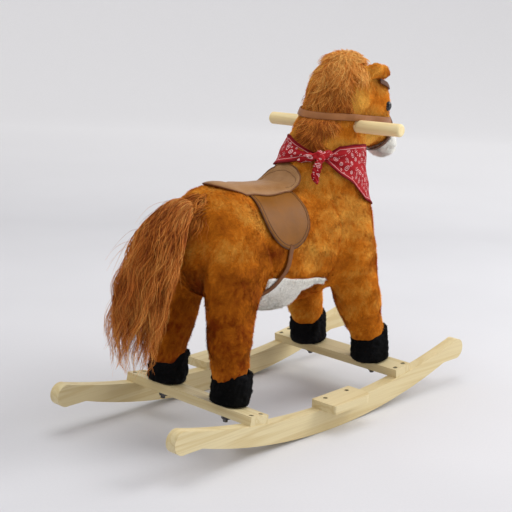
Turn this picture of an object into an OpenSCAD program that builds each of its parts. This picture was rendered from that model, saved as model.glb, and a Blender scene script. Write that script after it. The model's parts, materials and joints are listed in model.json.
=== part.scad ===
// Plush rocking horse on two wooden bow runners.
// Millimetres. +X is the way the horse faces, +Y is its left, +Z is up.
// The origin is on the floor, midway between the runners and midway along them.

/* [Runners] */
// Overall length of each bow runner
runner_len = 740; // [700:10:780]
// Thickness of a runner
runner_t = 20; // [17:1:24]
// Width over the outer faces of the two runners
runner_span = 290; // [280:5:310]
// Depth of a runner at mid-length
runner_depth = 39; // [35:1:44]
// Radius of the edge that rocks on the floor
rock_r = 1060; // [1000:10:1200]
// Radius of the upper edge
top_r = 1400; // [1300:10:1500]
// Radius of the round nose at each end
nose_r = 18.5; // [17:0.5:20]

/* [Cross boards] */
// Length of a cross board
board_len = 288; // [280:2:300]
// Width of a cross board
board_w = 40; // [36:1:46]
// Thickness of the cross boards
board_t = 15; // [12:1:18]
// Distance of each cross board from mid-length
board_x = 188; // [180:2:196]

/* [Footrests] */
// Length of a footrest along its runner
rest_len = 96; // [84:2:110]
// Width of a footrest across its runner
rest_w = 51; // [44:1:58]
// Thickness of a footrest
rest_t = 15; // [12:1:18]
// Distance of the footrests ahead of mid-length
rest_x = 12; // [0:1:24]
// How far a footrest reaches past the inner face of its runner
rest_inner = 2; // [0:0.5:4]

/* [Fasteners] */
// Shank radius of the countersunk wood screws
screw_r = 2; // [1.5:0.1:2.5]
// Head radius of the countersunk wood screws
screw_head_r = 4; // [3.4:0.1:4.6]
// Length of the wood screws
screw_len = 32; // [28:1:34]
// Distance between the two screws at each end of a cross board
board_screw_gap = 22; // [16:1:28]
// Distance between the two screws of a footrest
rest_screw_gap = 56; // [40:1:64]
// Radius of the threaded studs that hold the hooves down
stud_r = 4; // [3:0.5:5]
// How far a stud reaches up into its leg post
stud_up = 26; // [20:1:30]
// How far a stud reaches below its cross board
stud_down = 14; // [12:1:18]
// Radius of the washers under the cross boards
washer_r = 9; // [8:0.5:11]
// Thickness of those washers
washer_t = 1.6; // [1:0.1:2]
// Width of the nuts across their flats
nut_af = 13; // [11:0.5:15]
// Height of the nuts
nut_h = 7.5; // [6:0.5:9]

/* [Inner frame] */
// Radius of the round leg posts
post_r = 12; // [10:0.5:14]
// Width and height of the spine beam
spine_w = 34; // [28:1:40]
// Length of the spine beam
spine_len = 290; // [270:5:300]
// Length of each hip block along the spine beam
block_len = 46; // [40:1:50]
// Height of the hip blocks
block_h = 38; // [32:1:44]
// Thickness of the neck board
neck_board_t = 18; // [15:1:21]

/* [Handle] */
// Radius of the handle dowel
handle_r = 11; // [10:0.5:12.5]
// Length of the handle dowel
handle_len = 290; // [270:5:310]
// Rounding of the dowel's ends
handle_round = 4; // [2:0.5:6]
// Height of the handle above the cross boards
handle_h = 417; // [410:1:421]
// Sideways tilt of the dowel, its left end lower
handle_tilt = 2.5; // [0:0.5:4]
// Radius of the steel pin that locks the dowel in the neck board
pin_r = 2.5; // [2:0.5:3]

/* [Horse] */
// Height of the barrel's centre above the cross boards
hip_h = 219; // [215:1:226]
// Width of the barrel
barrel_w = 160; // [150:2:170]
// Height of the barrel
barrel_h = 214; // [206:2:222]
// Width of the hindquarters
rump_w = 166; // [156:2:176]
// Width of the skull
skull_w = 116; // [108:2:124]
// Radius of the hooves
hoof_r = 33; // [30:0.5:36]
// Height of the hooves
hoof_h = 52; // [44:1:56]
// Distance of each hoof from the centre plane
hoof_y = 73; // [68:1:76]
// How far the front hooves stand behind the middle of their board
front_hoof_back = 4; // [0:1:8]
// How far the rear hooves stand ahead of the middle of their board
rear_hoof_ahead = 3; // [0:1:8]
// Diameter of the eyes
eye_d = 15; // [12:0.5:18]

/* [Tack] */
// Thickness of the leather straps
strap_t = 2.2; // [1.8:0.1:3]
// Width of the rein round the neck
rein_w = 12; // [10:0.5:13]
// Width of the noseband
noseband_w = 11; // [9:0.5:14]
// Width of the browband
browband_w = 10; // [8:0.5:12]
// Width of the girth strap
girth_w = 15; // [12:0.5:20]
// Thickness of the saddle flaps
flap_t = 3.2; // [2.5:0.1:4]
// Thickness of the padded saddle seat
seat_t = 8; // [5:0.5:10]
// Half the width of the saddle seat
seat_half = 45; // [40:1:50]
// Length of the turned-up pommel
pommel_len = 66; // [58:1:70]
// Upward slope of the pommel
pommel_a = 31; // [26:1:36]
// Radius of the round lower end of the saddle flaps
flap_r = 50; // [44:1:54]
// Thickness of the bandana cloth as folded
bandana_t = 4; // [2:0.5:5]
// Depth of the long hair of the mane
mane_t = 9; // [7:1:12]

/* [Hidden] */

// Clearance between soft pieces that lie on each other
gap = 0.3;
// Clearance round studs, posts and pins
fit = 0.1;
big = 900;
round_fn = 96;
arc_fn = 720;
blob_fn = 22;

wood = "#dcc07f";
dark_steel = "#26262a";
plush = "#b5651d";
white_plush = "#f2efe6";
black_plush = "#15161a";
long_hair = "#8f4a1c";
leather = "#8a5a34";
red_cloth = "#c1272d";

// Runner geometry: both edges are arcs whose centres lie above mid-length
runner_y = (runner_span - runner_t) / 2;
top_centre_z = runner_depth + top_r;
nose_x = runner_len / 2 - nose_r;
// The round nose stands this much proud of the edges that run into it
nose_lip = 0.4;
nose_z = top_centre_z - sqrt(pow(top_r + nose_r - nose_lip, 2) - pow(nose_x, 2));
toe_z = nose_z - nose_r + nose_lip;
toe_x = sqrt(pow(rock_r, 2) - pow(rock_r - toe_z, 2));

board_a = asin(board_x / top_r);
rest_a = asin(rest_x / top_r);
rest_y = runner_y - runner_t / 2 - rest_inner + rest_w / 2;
deck_z = top_centre_z - (top_r - board_t) * cos(board_a);
deck_x = (top_r - board_t) * sin(board_a);

// Inner frame
body_z = deck_z + hip_h;
block_z = body_z - 4;
block_y = rump_w / 2 - 15;
rear_block_x = -160;
front_block_x = 104;
spine_x = (rear_block_x + front_block_x) / 2;
spine_z = block_z + block_h;
handle_x = 134;
handle_z = deck_z + handle_h;
neck_head_r = 30;

// Soft forms: [centre, radii] of ellipsoids that are joined by hulls
rump = [[-152, 0, body_z + 29], [75, rump_w / 2, 94]];
loin = [[-95, 0, body_z + 6], [75, barrel_w / 2 + 1, 101]];
barrel = [[-28, 0, body_z], [88, barrel_w / 2, barrel_h / 2]];
heart = [[55, 0, body_z + 4], [80, barrel_w / 2, 103]];
chest = [[128, 0, body_z + 14], [88, barrel_w / 2 - 1, 97]];
withers = [[105, 0, body_z + 114], [95, 66, 70]];
throat = [[126, 0, handle_z + 2], [67, 52, 54]];
poll = [[152, 0, handle_z + 46], [70, skull_w / 2, 72]];
brow = [[198, 0, handle_z + 34], [52, skull_w / 2 - 9, 60]];
cheek = [[208, 0, handle_z - 6], [44, 41, 42]];
bridge = [[241, 0, handle_z - 16], [33, 32, 33]];
lips = [[273, 0, handle_z - 46], [20, 20, 18]];

ear_parts = [
    [[166, 44, handle_z + 92], [15, 10, 13]],
    [[190, 51, handle_z + 91], [15, 9, 10]],
    [[212, 53, handle_z + 85], [6, 5, 5]]];

belly_top = body_z - 47;
belly_x = [-98, 66];
hind_thigh = [[-166, 56, body_z - 10], [60, 38, 74]];
hind_hock = [[-180, 67, body_z - 108], [37, 34, 40]];
hind_pastern = [[-183, 71, deck_z + 50], [30, 30, 22]];
fore_arm = [[128, 58, body_z - 30], [56, 40, 66]];
fore_knee = [[146, 67, body_z - 106], [38, 36, 40]];
fore_pastern = [[170, 70, deck_z + 50], [31, 30, 22]];

// Tail: a sewn root, then a hanging bunch of long hair
tail_root = [-222.4, 0, body_z + 92];
tail_root_r = 11;
tail_top = [[-265, 0, body_z + 62], [39, 38, 35]];
tail_mid = [[-302, 0, body_z - 6], [47, 50, 50]];
tail_low = [[-326, 0, body_z - 72], [43, 51, 42]];
tail_tip = [[-336, 0, body_z - 108], [27, 36, 26]];

module mirrored_y() {
    children();
    mirror([0, 1, 0]) children();
}

// A frame on the runners' upper edge: z = 0 there is the edge and x runs along it
module at_station(angle) {
    translate([0, 0, top_centre_z])
        rotate([0, -angle, 0])
            translate([0, 0, -top_r]) children();
}

module slab_between(low, high) {
    translate([-big / 2, -big / 2, low]) cube([big, big, high - low]);
}

// ---- Runners -------------------------------------------------------------

module bow() {
    difference() {
        intersection() {
            translate([0, rock_r]) circle(rock_r, $fn = arc_fn);
            translate([nose_r / 5 - nose_x, 0]) square([2 * nose_x - nose_r / 2.5, 3 * runner_depth]);
        }
        translate([0, top_centre_z]) circle(top_r, $fn = arc_fn);
    }
    for (side = [-1, 1]) scale([side, 1]) {
        translate([nose_x, nose_z]) circle(nose_r, $fn = round_fn);
        // Flat foot under each nose, which stops the horse from rocking too far
        translate([toe_x - nose_r, toe_z]) square([nose_x - toe_x + nose_r, nose_z - toe_z]);
    }
}

module board_blank(side) {
    at_station(side * board_a)
        translate([-board_w / 2, -board_len / 2, 0]) cube([board_w, board_len, board_t]);
}

module rest_outline() {
    corner = 14;
    small = 3;
    hull() {
        translate([rest_len / 2 - corner, rest_w / 2 - corner]) circle(corner, $fn = 32);
        translate([-rest_len / 2 + small, rest_w / 2 - small]) circle(small, $fn = 32);
        translate([rest_len / 2 - 1, -rest_w / 2 + 1]) circle(1, $fn = 32);
        translate([-rest_len / 2 + 1, -rest_w / 2 + 1]) circle(1, $fn = 32);
    }
}

module runner(side) {
    color(wood) difference() {
        translate([0, side * runner_y, 0]) rotate([90, 0, 0]) linear_extrude(runner_t, center = true) bow();
        for (end = [-1, 1]) board_blank(end);
        at_station(rest_a) translate([-rest_len / 2, -big / 2, 0]) cube([rest_len, big, rest_t]);
        board_screw_bores(side);
        rest_screw_bores(side);
    }
}

// ---- Cross boards and footrests ------------------------------------------

module screw_shape(grow = 0) {
    // Tip at the bottom, countersunk head with its flat at z = 0
    rotate_extrude($fn = 32) polygon([
        [0, -screw_len - grow], [screw_r * 0.3 + grow, -screw_len - grow],
        [screw_r + grow, -screw_len + 4], [screw_r + grow, -screw_head_r - 0.6],
        [screw_head_r + grow, -0.6], [screw_head_r + grow, grow > 0 ? 5 : 0], [0, grow > 0 ? 5 : 0]]);
}

module at_board_screws(side) {
    for (end = [-1, 1], step = [-1, 1])
        at_station(end * board_a)
            translate([step * board_screw_gap / 2, side * runner_y, board_t - 0.8]) children();
}

module at_rest_screws(side) {
    for (step = [-1, 1])
        at_station(rest_a)
            translate([step * rest_screw_gap / 2, side * runner_y, rest_t - 0.8]) children();
}

module board_screw_bores(side) {
    at_board_screws(side) screw_shape(fit);
}

module rest_screw_bores(side) {
    at_rest_screws(side) screw_shape(fit);
}

module at_studs(end) {
    for (side = [-1, 1])
        at_station(end * board_a) translate([0, side * hoof_y, 0]) children();
}

module cross_board(end) {
    color(wood) difference() {
        board_blank(end);
        for (side = [-1, 1]) board_screw_bores(side);
        at_studs(end) translate([0, 0, -1]) cylinder(r = stud_r + fit, h = board_t + 2, $fn = 32);
    }
}

module footrest(side) {
    color(wood) difference() {
        at_station(rest_a)
            translate([0, side * rest_y, 0]) scale([1, side, 1]) linear_extrude(rest_t) rest_outline();
        rest_screw_bores(side);
    }
}

module board_screws() {
    color(dark_steel) for (side = [-1, 1]) at_board_screws(side) screw_shape();
}

module footrest_screws() {
    color(dark_steel) for (side = [-1, 1]) at_rest_screws(side) screw_shape();
}

module leg_studs() {
    color(dark_steel) for (end = [-1, 1]) at_studs(end)
        translate([0, 0, -stud_down]) cylinder(r = stud_r, h = stud_down + board_t + stud_up, $fn = 32);
}

module leg_washers() {
    color(dark_steel) for (end = [-1, 1]) at_studs(end) difference() {
        translate([0, 0, -washer_t]) cylinder(r = washer_r, h = washer_t, $fn = 48);
        translate([0, 0, -washer_t - 1]) cylinder(r = stud_r + fit, h = washer_t + 2, $fn = 32);
    }
}

module leg_nuts() {
    color(dark_steel) for (end = [-1, 1]) at_studs(end) difference() {
        translate([0, 0, -washer_t - nut_h]) cylinder(r = nut_af / sqrt(3), h = nut_h, $fn = 6);
        translate([0, 0, -washer_t - nut_h - 1]) cylinder(r = stud_r + fit, h = nut_h + 2, $fn = 32);
    }
}

// ---- Inner frame -----------------------------------------------------------

// A cylinder from one point to another
module rod(from, to, r, fn = 40) {
    way = to - from;
    length = norm(way);
    translate(from)
        rotate([0, acos(way[2] / length), atan2(way[1], way[0])])
            rotate([0, 0, 90]) cylinder(r = r, h = length, $fn = fn);
}

// end is 1 in front and -1 behind, side is 1 on the left and -1 on the right
module leg_post_blank(end, side, grow = 0) {
    foot = [end * (deck_x - 3 * sin(board_a)), side * hoof_y, deck_z + 3];
    top = [end > 0 ? front_block_x + 6 : rear_block_x - 2, side * (block_y - post_r - 6), block_z + 20];
    way = (top - foot) / norm(top - foot);
    intersection() {
        rod(foot - 30 * way, top, post_r + grow);
        at_station(end * board_a) translate([-big / 2, -big / 2, board_t]) cube([big, big, big]);
        translate([-big / 2, -big / 2, -big]) cube([big, big, big + block_z + grow]);
    }
}

module leg_post(end, side) {
    color(wood) difference() {
        leg_post_blank(end, side);
        at_studs(end) translate([0, 0, board_t - 1]) cylinder(r = stud_r + fit, h = stud_up + 2, $fn = 32);
    }
}

module hip_block_blank(end, grow = 0) {
    x = end > 0 ? front_block_x : rear_block_x;
    translate([x - block_len / 2 - grow, -block_y - grow, block_z - grow])
        cube([block_len + 2 * grow, 2 * (block_y + grow), block_h + 2 * grow]);
}

module spine_blank(grow = 0) {
    translate([spine_x - spine_len / 2 - grow, -spine_w / 2 - grow, spine_z - grow])
        cube([spine_len + 2 * grow, spine_w + 2 * grow, spine_w + 2 * grow]);
}

module neck_board_blank(grow = 0) {
    foot_z = spine_z + spine_w;
    foot_x = front_block_x - 10;
    rotate([90, 0, 0])
        linear_extrude(neck_board_t + 2 * grow, center = true) {
            translate([handle_x, handle_z]) circle(neck_head_r + grow, $fn = round_fn);
            polygon([
                [foot_x - 30 - grow, foot_z], [foot_x + 40 + grow, foot_z],
                [handle_x + neck_head_r + grow, handle_z], [handle_x - neck_head_r - grow, handle_z]]);
        }
}

// The dowel's own frame: its axis is z and runs across the horse
module at_handle() {
    translate([handle_x, 0, handle_z]) rotate([90 - handle_tilt, 0, 0]) children();
}

module neck_board() {
    color(wood) difference() {
        neck_board_blank();
        at_handle() cylinder(r = handle_r + fit, h = big, center = true, $fn = round_fn);
        pin_blank(fit);
    }
}

module handle_blank(grow = 0) {
    half = handle_len / 2 + grow;
    r = handle_r + grow;
    edge = handle_round;
    at_handle() rotate_extrude($fn = round_fn) {
        translate([0, -half + edge]) square([r, 2 * (half - edge)]);
        translate([0, -half]) square([r - edge, 2 * half]);
        for (end = [-1, 1]) translate([r - edge, end * (half - edge)]) circle(edge, $fn = 48);
    }
}

module pin_blank(grow = 0) {
    translate([handle_x - neck_head_r + 2, 0, handle_z]) rotate([0, 90, 0])
        cylinder(r = pin_r + grow, h = 2 * neck_head_r - 4, $fn = 32);
}

module handle() {
    color(wood) difference() {
        handle_blank();
        pin_blank(fit);
    }
}

module inner_frame(grow = 0) {
    for (end = [-1, 1], side = [-1, 1]) leg_post_blank(end, side, grow);
    for (end = [-1, 1]) hip_block_blank(end, grow);
    spine_blank(grow);
    neck_board_blank(grow);
}

// ---- Plush body ------------------------------------------------------------

module blob(form, grow = 0) {
    translate(form[0]) scale(form[1] + grow * [1, 1, 1]) sphere(1, $fn = blob_fn);
}

module link(a, b, grow = 0) {
    hull() {
        blob(a, grow);
        blob(b, grow);
    }
}

module torso_form(grow = 0) {
    link(rump, loin, grow);
    link(loin, barrel, grow);
    link(barrel, heart, grow);
    link(heart, chest, grow);
}

module neck_form(grow = 0) {
    link(withers, throat, grow);
}

module head_form(grow = 0) {
    link(poll, brow, grow);
    link(brow, cheek, grow);
    link(brow, bridge, grow);
    link(cheek, bridge, grow);
}

module muzzle_form(grow = 0) {
    link(bridge, lips, grow);
}

module belly_region(grow = 0) {
    translate([belly_x[0] - grow, -big / 2, 0])
        cube([belly_x[1] - belly_x[0] + 2 * grow, big, belly_top + grow]);
}

module torso() {
    color(plush) difference() {
        torso_form();
        belly_region();
        inner_frame(fit);
    }
}

module belly_panel() {
    color(white_plush) intersection() {
        torso_form();
        belly_region();
    }
}

module neck() {
    color(plush) difference() {
        neck_form();
        torso_form();
        head_form();
        inner_frame(fit);
        handle_blank(fit);
    }
}

module head() {
    color(plush) difference() {
        head_form();
        inner_frame(fit);
        handle_blank(fit);
        pin_blank(fit);
    }
}

module muzzle() {
    color(white_plush) difference() {
        muzzle_form();
        head_form();
    }
}

module ear_form(side, grow = 0) {
    scale([1, side, 1]) hull() for (part = ear_parts) blob(part, grow);
}

module ear(side) {
    color(plush) difference() {
        ear_form(side);
        head_form();
    }
}

module eyes() {
    color("black") mirrored_y() difference() {
        translate([227, 37, handle_z + 32]) sphere(d = eye_d, $fn = 32);
        head_form();
    }
}

module leg_form(end, grow = 0) {
    if (end > 0) {
        link(fore_arm, fore_knee, grow);
        link(fore_knee, fore_pastern, grow);
    } else {
        link(hind_thigh, hind_hock, grow);
        link(hind_hock, hind_pastern, grow);
    }
}

module leg(end, side) {
    color(plush) difference() {
        scale([1, side, 1]) leg_form(end);
        torso_form();
        hoof_blank(end, side);
        at_station(end * board_a) slab_between(-big / 2, board_t + hoof_h / 2);
        leg_post_blank(end, side, fit);
        hip_block_blank(end, fit);
    }
}

function hoof_ahead(end) = end > 0 ? -front_hoof_back : rear_hoof_ahead;

module hoof_blank(end, side) {
    edge = 7;
    at_station(end * board_a)
        translate([hoof_ahead(end), side * hoof_y, board_t])
            rotate_extrude($fn = round_fn) {
                square([hoof_r - edge, hoof_h]);
                translate([0, edge]) square([hoof_r, hoof_h - 2 * edge]);
                for (z = [edge, hoof_h - edge]) translate([hoof_r - edge, z]) circle(edge, $fn = 40);
            }
}

module hoof(end, side) {
    color(black_plush) difference() {
        hoof_blank(end, side);
        leg_post_blank(end, side, fit);
        at_studs(end) cylinder(r = stud_r + fit, h = board_t + stud_up, $fn = 32);
    }
}

// ---- Hair ------------------------------------------------------------------

module mane_shell() {
    difference() {
        union() {
            neck_form(mane_t);
            link(poll, brow, mane_t);
        }
        neck_form(gap);
        head_form(gap);
        torso_form(gap);
        ear_form(-1, gap);
    }
}

module mane_region() {
    rotate([90, 0, 0]) linear_extrude(90) polygon([
        [172, handle_z + 132], [60, handle_z + 132], [-20, handle_z + 52], [-20, handle_z - 48],
        [48, handle_z - 48], [68, handle_z + 12], [90, handle_z + 42], [104, handle_z + 76],
        [164, handle_z + 104]]);
}

module mane_part() {
    color(long_hair) intersection() {
        mane_shell();
        translate([0, 22, 0]) mane_region();
        children();
    }
}

module mane_upper() {
    mane_part() translate([0, 0, rein_w / 2 + gap]) rein_plane(0, big);
}

module mane_lower() {
    mane_part() intersection() {
        translate([0, 0, -rein_w / 2 - gap]) rein_plane(-big, 0);
        translate([0, 0, gap]) rotate([0, 6, 0]) slab_between(bandana_top_z, bandana_top_z + big);
    }
}

module forelock() {
    color(long_hair) difference() {
        hull() {
            blob([[180, 2, handle_z + 104], [18, 16, 10]]);
            blob([[220, 0, handle_z + 84], [10, 14, 10]]);
        }
        head_form(gap);
        ear_form(1, gap);
        ear_form(-1, gap);
        mane_part();
    }
}

module tail() {
    color(long_hair) union() {
        hull() {
            translate(tail_root) sphere(tail_root_r, $fn = 24);
            blob(tail_top);
        }
        link(tail_top, tail_mid);
        link(tail_mid, tail_low);
        link(tail_low, tail_tip);
    }
}

// ---- Tack --------------------------------------------------------------------

bandana_top_z = handle_z;
// The rein clears the tilted dowel by this much where it passes over it
rein_lift = 2.8;
rein_a = 6.4;
noseband_mid = [258, 0, handle_z - 12];
noseband_a = 121;
browband_mid = [205, 0, handle_z + 74];
browband_a = 18;
flap_mid = [-62, 0, body_z + 62];
girth_mid = [-58, 0, body_z + 12];
girth_a = 27;
seat_back_x = -162;
seat_mid_x = -118;
seat_front_x = -30;
pommel_foot = [-46, 0, body_z + barrel_h / 2 - seat_t + 2];

// A flat layer whose middle runs along the rein, from low to high across it
module rein_plane(low, high) {
    translate([handle_x, 0, handle_z + handle_r + gap + rein_w / 2 + rein_lift])
        rotate([0, rein_a, 0]) slab_between(low, high);
}

module noseband_plane(low, high) {
    translate(noseband_mid) rotate([0, noseband_a, 0]) slab_between(low, high);
}

module browband_plane(low, high) {
    translate(browband_mid) rotate([0, browband_a, 0]) slab_between(low, high);
}

module face_shell(low, high) {
    difference() {
        union() {
            head_form(high);
            muzzle_form(high);
        }
        head_form(low);
        muzzle_form(low);
    }
}

module rein() {
    color(leather) difference() {
        intersection() {
            union() {
                head_form(gap + strap_t);
                neck_form(gap + strap_t);
            }
            rein_plane(-rein_w / 2, rein_w / 2);
        }
        head_form(gap);
        neck_form(gap);
        muzzle_form(gap);
        noseband_plane(-noseband_w / 2 - gap, big / 2);
    }
}

module noseband() {
    color(leather) intersection() {
        face_shell(gap, gap + strap_t);
        noseband_plane(-noseband_w / 2, noseband_w / 2);
    }
}

module browband() {
    color(leather) difference() {
        intersection() {
            face_shell(gap, gap + strap_t);
            browband_plane(-browband_w / 2, browband_w / 2);
            translate([192, -big / 2, 0]) cube([big, big, big]);
        }
        for (side = [-1, 1]) ear_form(side, gap);
    }
}

module back_form(grow) {
    torso_form(grow);
    neck_form(grow);
}

module flap_outline() {
    // Side view, x and z measured from the flap's middle
    hull() {
        circle(flap_r, $fn = 48);
        translate([0, flap_r]) square([2 * flap_r - 8, 10], center = true);
    }
}

module flap_prism(side, grow = 0) {
    translate(flap_mid + [0, side * big / 4, 0]) rotate([90, 0, 0])
        linear_extrude(big / 2 - 40, center = true) offset(grow) flap_outline();
}

module flap_blank(side, low, high) {
    intersection() {
        difference() {
            torso_form(high);
            back_form(low);
        }
        flap_prism(side);
    }
}

module saddle_flap(side) {
    color(leather) difference() {
        flap_blank(side, gap, gap + flap_t);
        seat_prism(gap);
        pommel();
    }
}

module seat_outline() {
    tip_r = 12;
    hull() {
        translate([seat_back_x, 0]) circle(tip_r, $fn = 24);
        translate([seat_mid_x, 0]) circle(seat_half, $fn = 48);
    }
    hull() {
        translate([seat_mid_x, 0]) circle(seat_half, $fn = 48);
        translate([seat_front_x, 0]) square([2, 2 * seat_half - 6], center = true);
    }
}

// The front of the seat, turned up against the root of the neck
module pommel() {
    round_r = seat_half - 8;
    translate(pommel_foot) rotate([0, -pommel_a, 0])
        linear_extrude(seat_t - 2) hull() {
            translate([pommel_len - round_r, 0]) circle(round_r, $fn = 48);
            square([2, 2 * seat_half - 6], center = true);
        }
}

module seat_prism(grow = 0) {
    translate([0, 0, body_z + 50]) linear_extrude(big / 2) offset(grow) seat_outline();
}

module saddle_seat() {
    color(leather) difference() {
        union() {
            intersection() {
                torso_form(gap + seat_t);
                seat_prism();
            }
            pommel();
        }
        back_form(gap);
    }
}

module girth_strap() {
    color(leather) difference() {
        intersection() {
            difference() {
                torso_form(gap + strap_t);
                torso_form(gap);
            }
            translate(girth_mid) rotate([0, girth_a, 0])
                translate([-girth_w / 2, -big / 2, -big / 2]) cube([girth_w, big, big / 2 + 8]);
        }
        for (side = [-1, 1]) flap_prism(side, gap);
    }
}

module bandana_cover(grow) {
    torso_form(grow);
    neck_form(grow);
    head_form(grow);
}

module bandana() {
    color(red_cloth) difference() {
        intersection() {
            union() {
                torso_form(gap + bandana_t);
                neck_form(gap + bandana_t);
            }
            rotate([90, 0, 0]) linear_extrude(big / 2, center = true) polygon([
                [-12, body_z + 142], [-12, handle_z - 8], [100, handle_z - 18], [250, handle_z - 38],
                [250, body_z + 40], [225, body_z + 48], [150, body_z + 100], [90, body_z + 122]]);
        }
        bandana_cover(gap);
        muzzle_form(gap);
        translate([-gap, 0, gap]) pommel();
        translate([gap, 0, 0]) pommel();
    }
}

module bandana_knot() {
    color(red_cloth) difference() {
        union() {
            blob([[38, -50, body_z + 148], [15, 12, 11]]);
            hull() {
                blob([[36, -52, body_z + 142], [9, 8, 9]]);
                blob([[26, -66, body_z + 106], [10, 5, 8]]);
            }
        }
        union() {
            torso_form(2 * gap + bandana_t);
            neck_form(2 * gap + bandana_t);
        }
    }
}

runner(1);  // runner_left
runner(-1);  // runner_right
cross_board(1);  // cross_board_front
cross_board(-1);  // cross_board_rear
footrest(1);  // footrest_left
footrest(-1);  // footrest_right
board_screws();
footrest_screws();
leg_studs();
leg_washers();
leg_nuts();
leg_post(1, 1);  // leg_post_front_left
leg_post(1, -1);  // leg_post_front_right
leg_post(-1, 1);  // leg_post_rear_left
leg_post(-1, -1);  // leg_post_rear_right
color(wood) hip_block_blank(1);  // hip_block_front
color(wood) hip_block_blank(-1);  // hip_block_rear
color(wood) spine_blank();  // spine_beam
neck_board();
handle();
color(dark_steel) pin_blank();  // handle_pin
torso();
belly_panel();
neck();
head();
muzzle();
ear(1);  // ear_left
ear(-1);  // ear_right
eyes();
leg(1, 1);  // leg_front_left
leg(1, -1);  // leg_front_right
leg(-1, 1);  // leg_rear_left
leg(-1, -1);  // leg_rear_right
hoof(1, 1);  // hoof_front_left
hoof(1, -1);  // hoof_front_right
hoof(-1, 1);  // hoof_rear_left
hoof(-1, -1);  // hoof_rear_right
mane_upper();
mane_lower();
forelock();
tail();
saddle_seat();
saddle_flap(1);  // saddle_flap_left
saddle_flap(-1);  // saddle_flap_right
girth_strap();
rein();
noseband();
browband();
bandana();
bandana_knot();
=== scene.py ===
"""Looks of the plush rocking horse: fur, long hair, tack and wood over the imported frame.

Shapes are worked out in millimetres, in the frame of the CAD model, and become metres when
a piece is made. Soft forms are distance fields: a field takes points and gives how far each
lies outside the form.
"""
import json
import math
from collections import namedtuple

import bpy
import numpy as np
from mathutils import Matrix, Vector


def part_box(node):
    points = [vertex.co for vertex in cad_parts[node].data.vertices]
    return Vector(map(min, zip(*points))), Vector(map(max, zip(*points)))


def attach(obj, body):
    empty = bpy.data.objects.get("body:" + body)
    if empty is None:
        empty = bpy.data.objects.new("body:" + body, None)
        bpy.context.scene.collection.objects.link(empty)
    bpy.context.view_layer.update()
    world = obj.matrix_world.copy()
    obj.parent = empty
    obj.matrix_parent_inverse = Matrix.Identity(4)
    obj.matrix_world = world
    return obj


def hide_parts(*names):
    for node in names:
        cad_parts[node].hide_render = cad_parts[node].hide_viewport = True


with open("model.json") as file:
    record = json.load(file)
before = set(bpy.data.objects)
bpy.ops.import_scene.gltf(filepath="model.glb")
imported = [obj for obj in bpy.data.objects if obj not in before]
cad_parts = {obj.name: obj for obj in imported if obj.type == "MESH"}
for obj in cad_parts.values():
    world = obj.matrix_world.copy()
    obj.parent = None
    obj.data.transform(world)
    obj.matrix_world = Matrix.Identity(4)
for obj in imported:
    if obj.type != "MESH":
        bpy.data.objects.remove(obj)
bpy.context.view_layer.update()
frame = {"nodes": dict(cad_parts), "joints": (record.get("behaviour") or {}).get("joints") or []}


# ---- Places taken from the frame ----


def box_mm(node):
    """Lowest and highest corner of a node, in millimetres."""
    return [np.array(corner) * 1000 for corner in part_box(node)]


HANDLE = sum(box_mm("handle")) / 2
HANDLE_Z = HANDLE[2]
BODY_Z = box_mm("spine_beam")[0][2] - 34    # middle of the trunk, under the spine beam
DECK_Z = BODY_Z - 219    # top of the cross boards, where the boots stand
TAIL_ROOT = np.array(frame["joints"][0]["pos_m"]) * 1000
SIDES = ((1, "left"), (-1, "right"))
FAR_OUT = 150    # how far outside a form the points start that are sent to it


def form(x, y, z, rx, ry, rz):
    """An ellipsoid: its centre and its radii."""
    return np.array([x, y, z], float), np.array([rx, ry, rz], float)


RUMP = form(-152, 0, BODY_Z + 29, 75, 83, 94)
LOIN = form(-95, 0, BODY_Z + 6, 75, 81, 101)
BARREL = form(-28, 0, BODY_Z, 88, 80, 107)
HEART = form(55, 0, BODY_Z + 4, 80, 80, 103)
CHEST = form(128, 0, BODY_Z + 14, 88, 79, 97)
WITHERS = form(105, 0, BODY_Z + 114, 95, 66, 70)
THROAT = form(126, 0, HANDLE_Z + 2, 67, 52, 54)
POLL = form(152, 0, HANDLE_Z + 46, 70, 58, 72)
BROW = form(198, 0, HANDLE_Z + 34, 52, 49, 60)
CHEEK = form(207, 0, HANDLE_Z - 3, 43, 41, 39)
BRIDGE = form(241, 0, HANDLE_Z - 16, 33, 32, 33)
LIPS = form(273, 0, HANDLE_Z - 46, 20, 20, 18)
THIGH = form(-166, 56, BODY_Z - 10, 60, 38, 74)
HOCK = form(-180, 67, BODY_Z - 108, 37, 34, 40)
HIND_PASTERN = form(-183, 71, DECK_Z + 50, 30, 30, 22)
FOREARM = form(128, 58, BODY_Z - 30, 56, 40, 66)
KNEE = form(146, 67, BODY_Z - 106, 38, 36, 40)
FORE_PASTERN = form(170, 70, DECK_Z + 50, 31, 30, 22)


# ---- Distance fields ----


def length(v):
    return np.sqrt((v * v).sum(-1))


def unit(v):
    return v / np.maximum(length(v), 1e-9)[..., None]


def dot(a, b):
    return (a * b).sum(-1)


def ball(p, shape):
    """Distance, near enough, to an ellipsoid."""
    q = (p - shape[0]) / shape[1]
    k = length(q) + 1e-9
    return k * (k - 1) / (length(q / shape[1]) + 1e-9)


def link(p, a, b):
    """Distance to what one ellipsoid sweeps while it turns into another."""
    way = b[0] - a[0]
    t = np.clip(((p - a[0]) @ way) / (way @ way), 0, 1)[:, None]
    radii = a[1] + t * (b[1] - a[1])
    q = (p - a[0] - t * way) / radii
    k = length(q) + 1e-9
    return k * (k - 1) / (length(q / radii) + 1e-9)


def melt(a, b, width):
    """The smaller of two distances, rounded over where they are about the same."""
    h = np.clip(0.5 + 0.5 * (b - a) / width, 0, 1)
    return b * (1 - h) + a * h - width * h * (1 - h)


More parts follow.
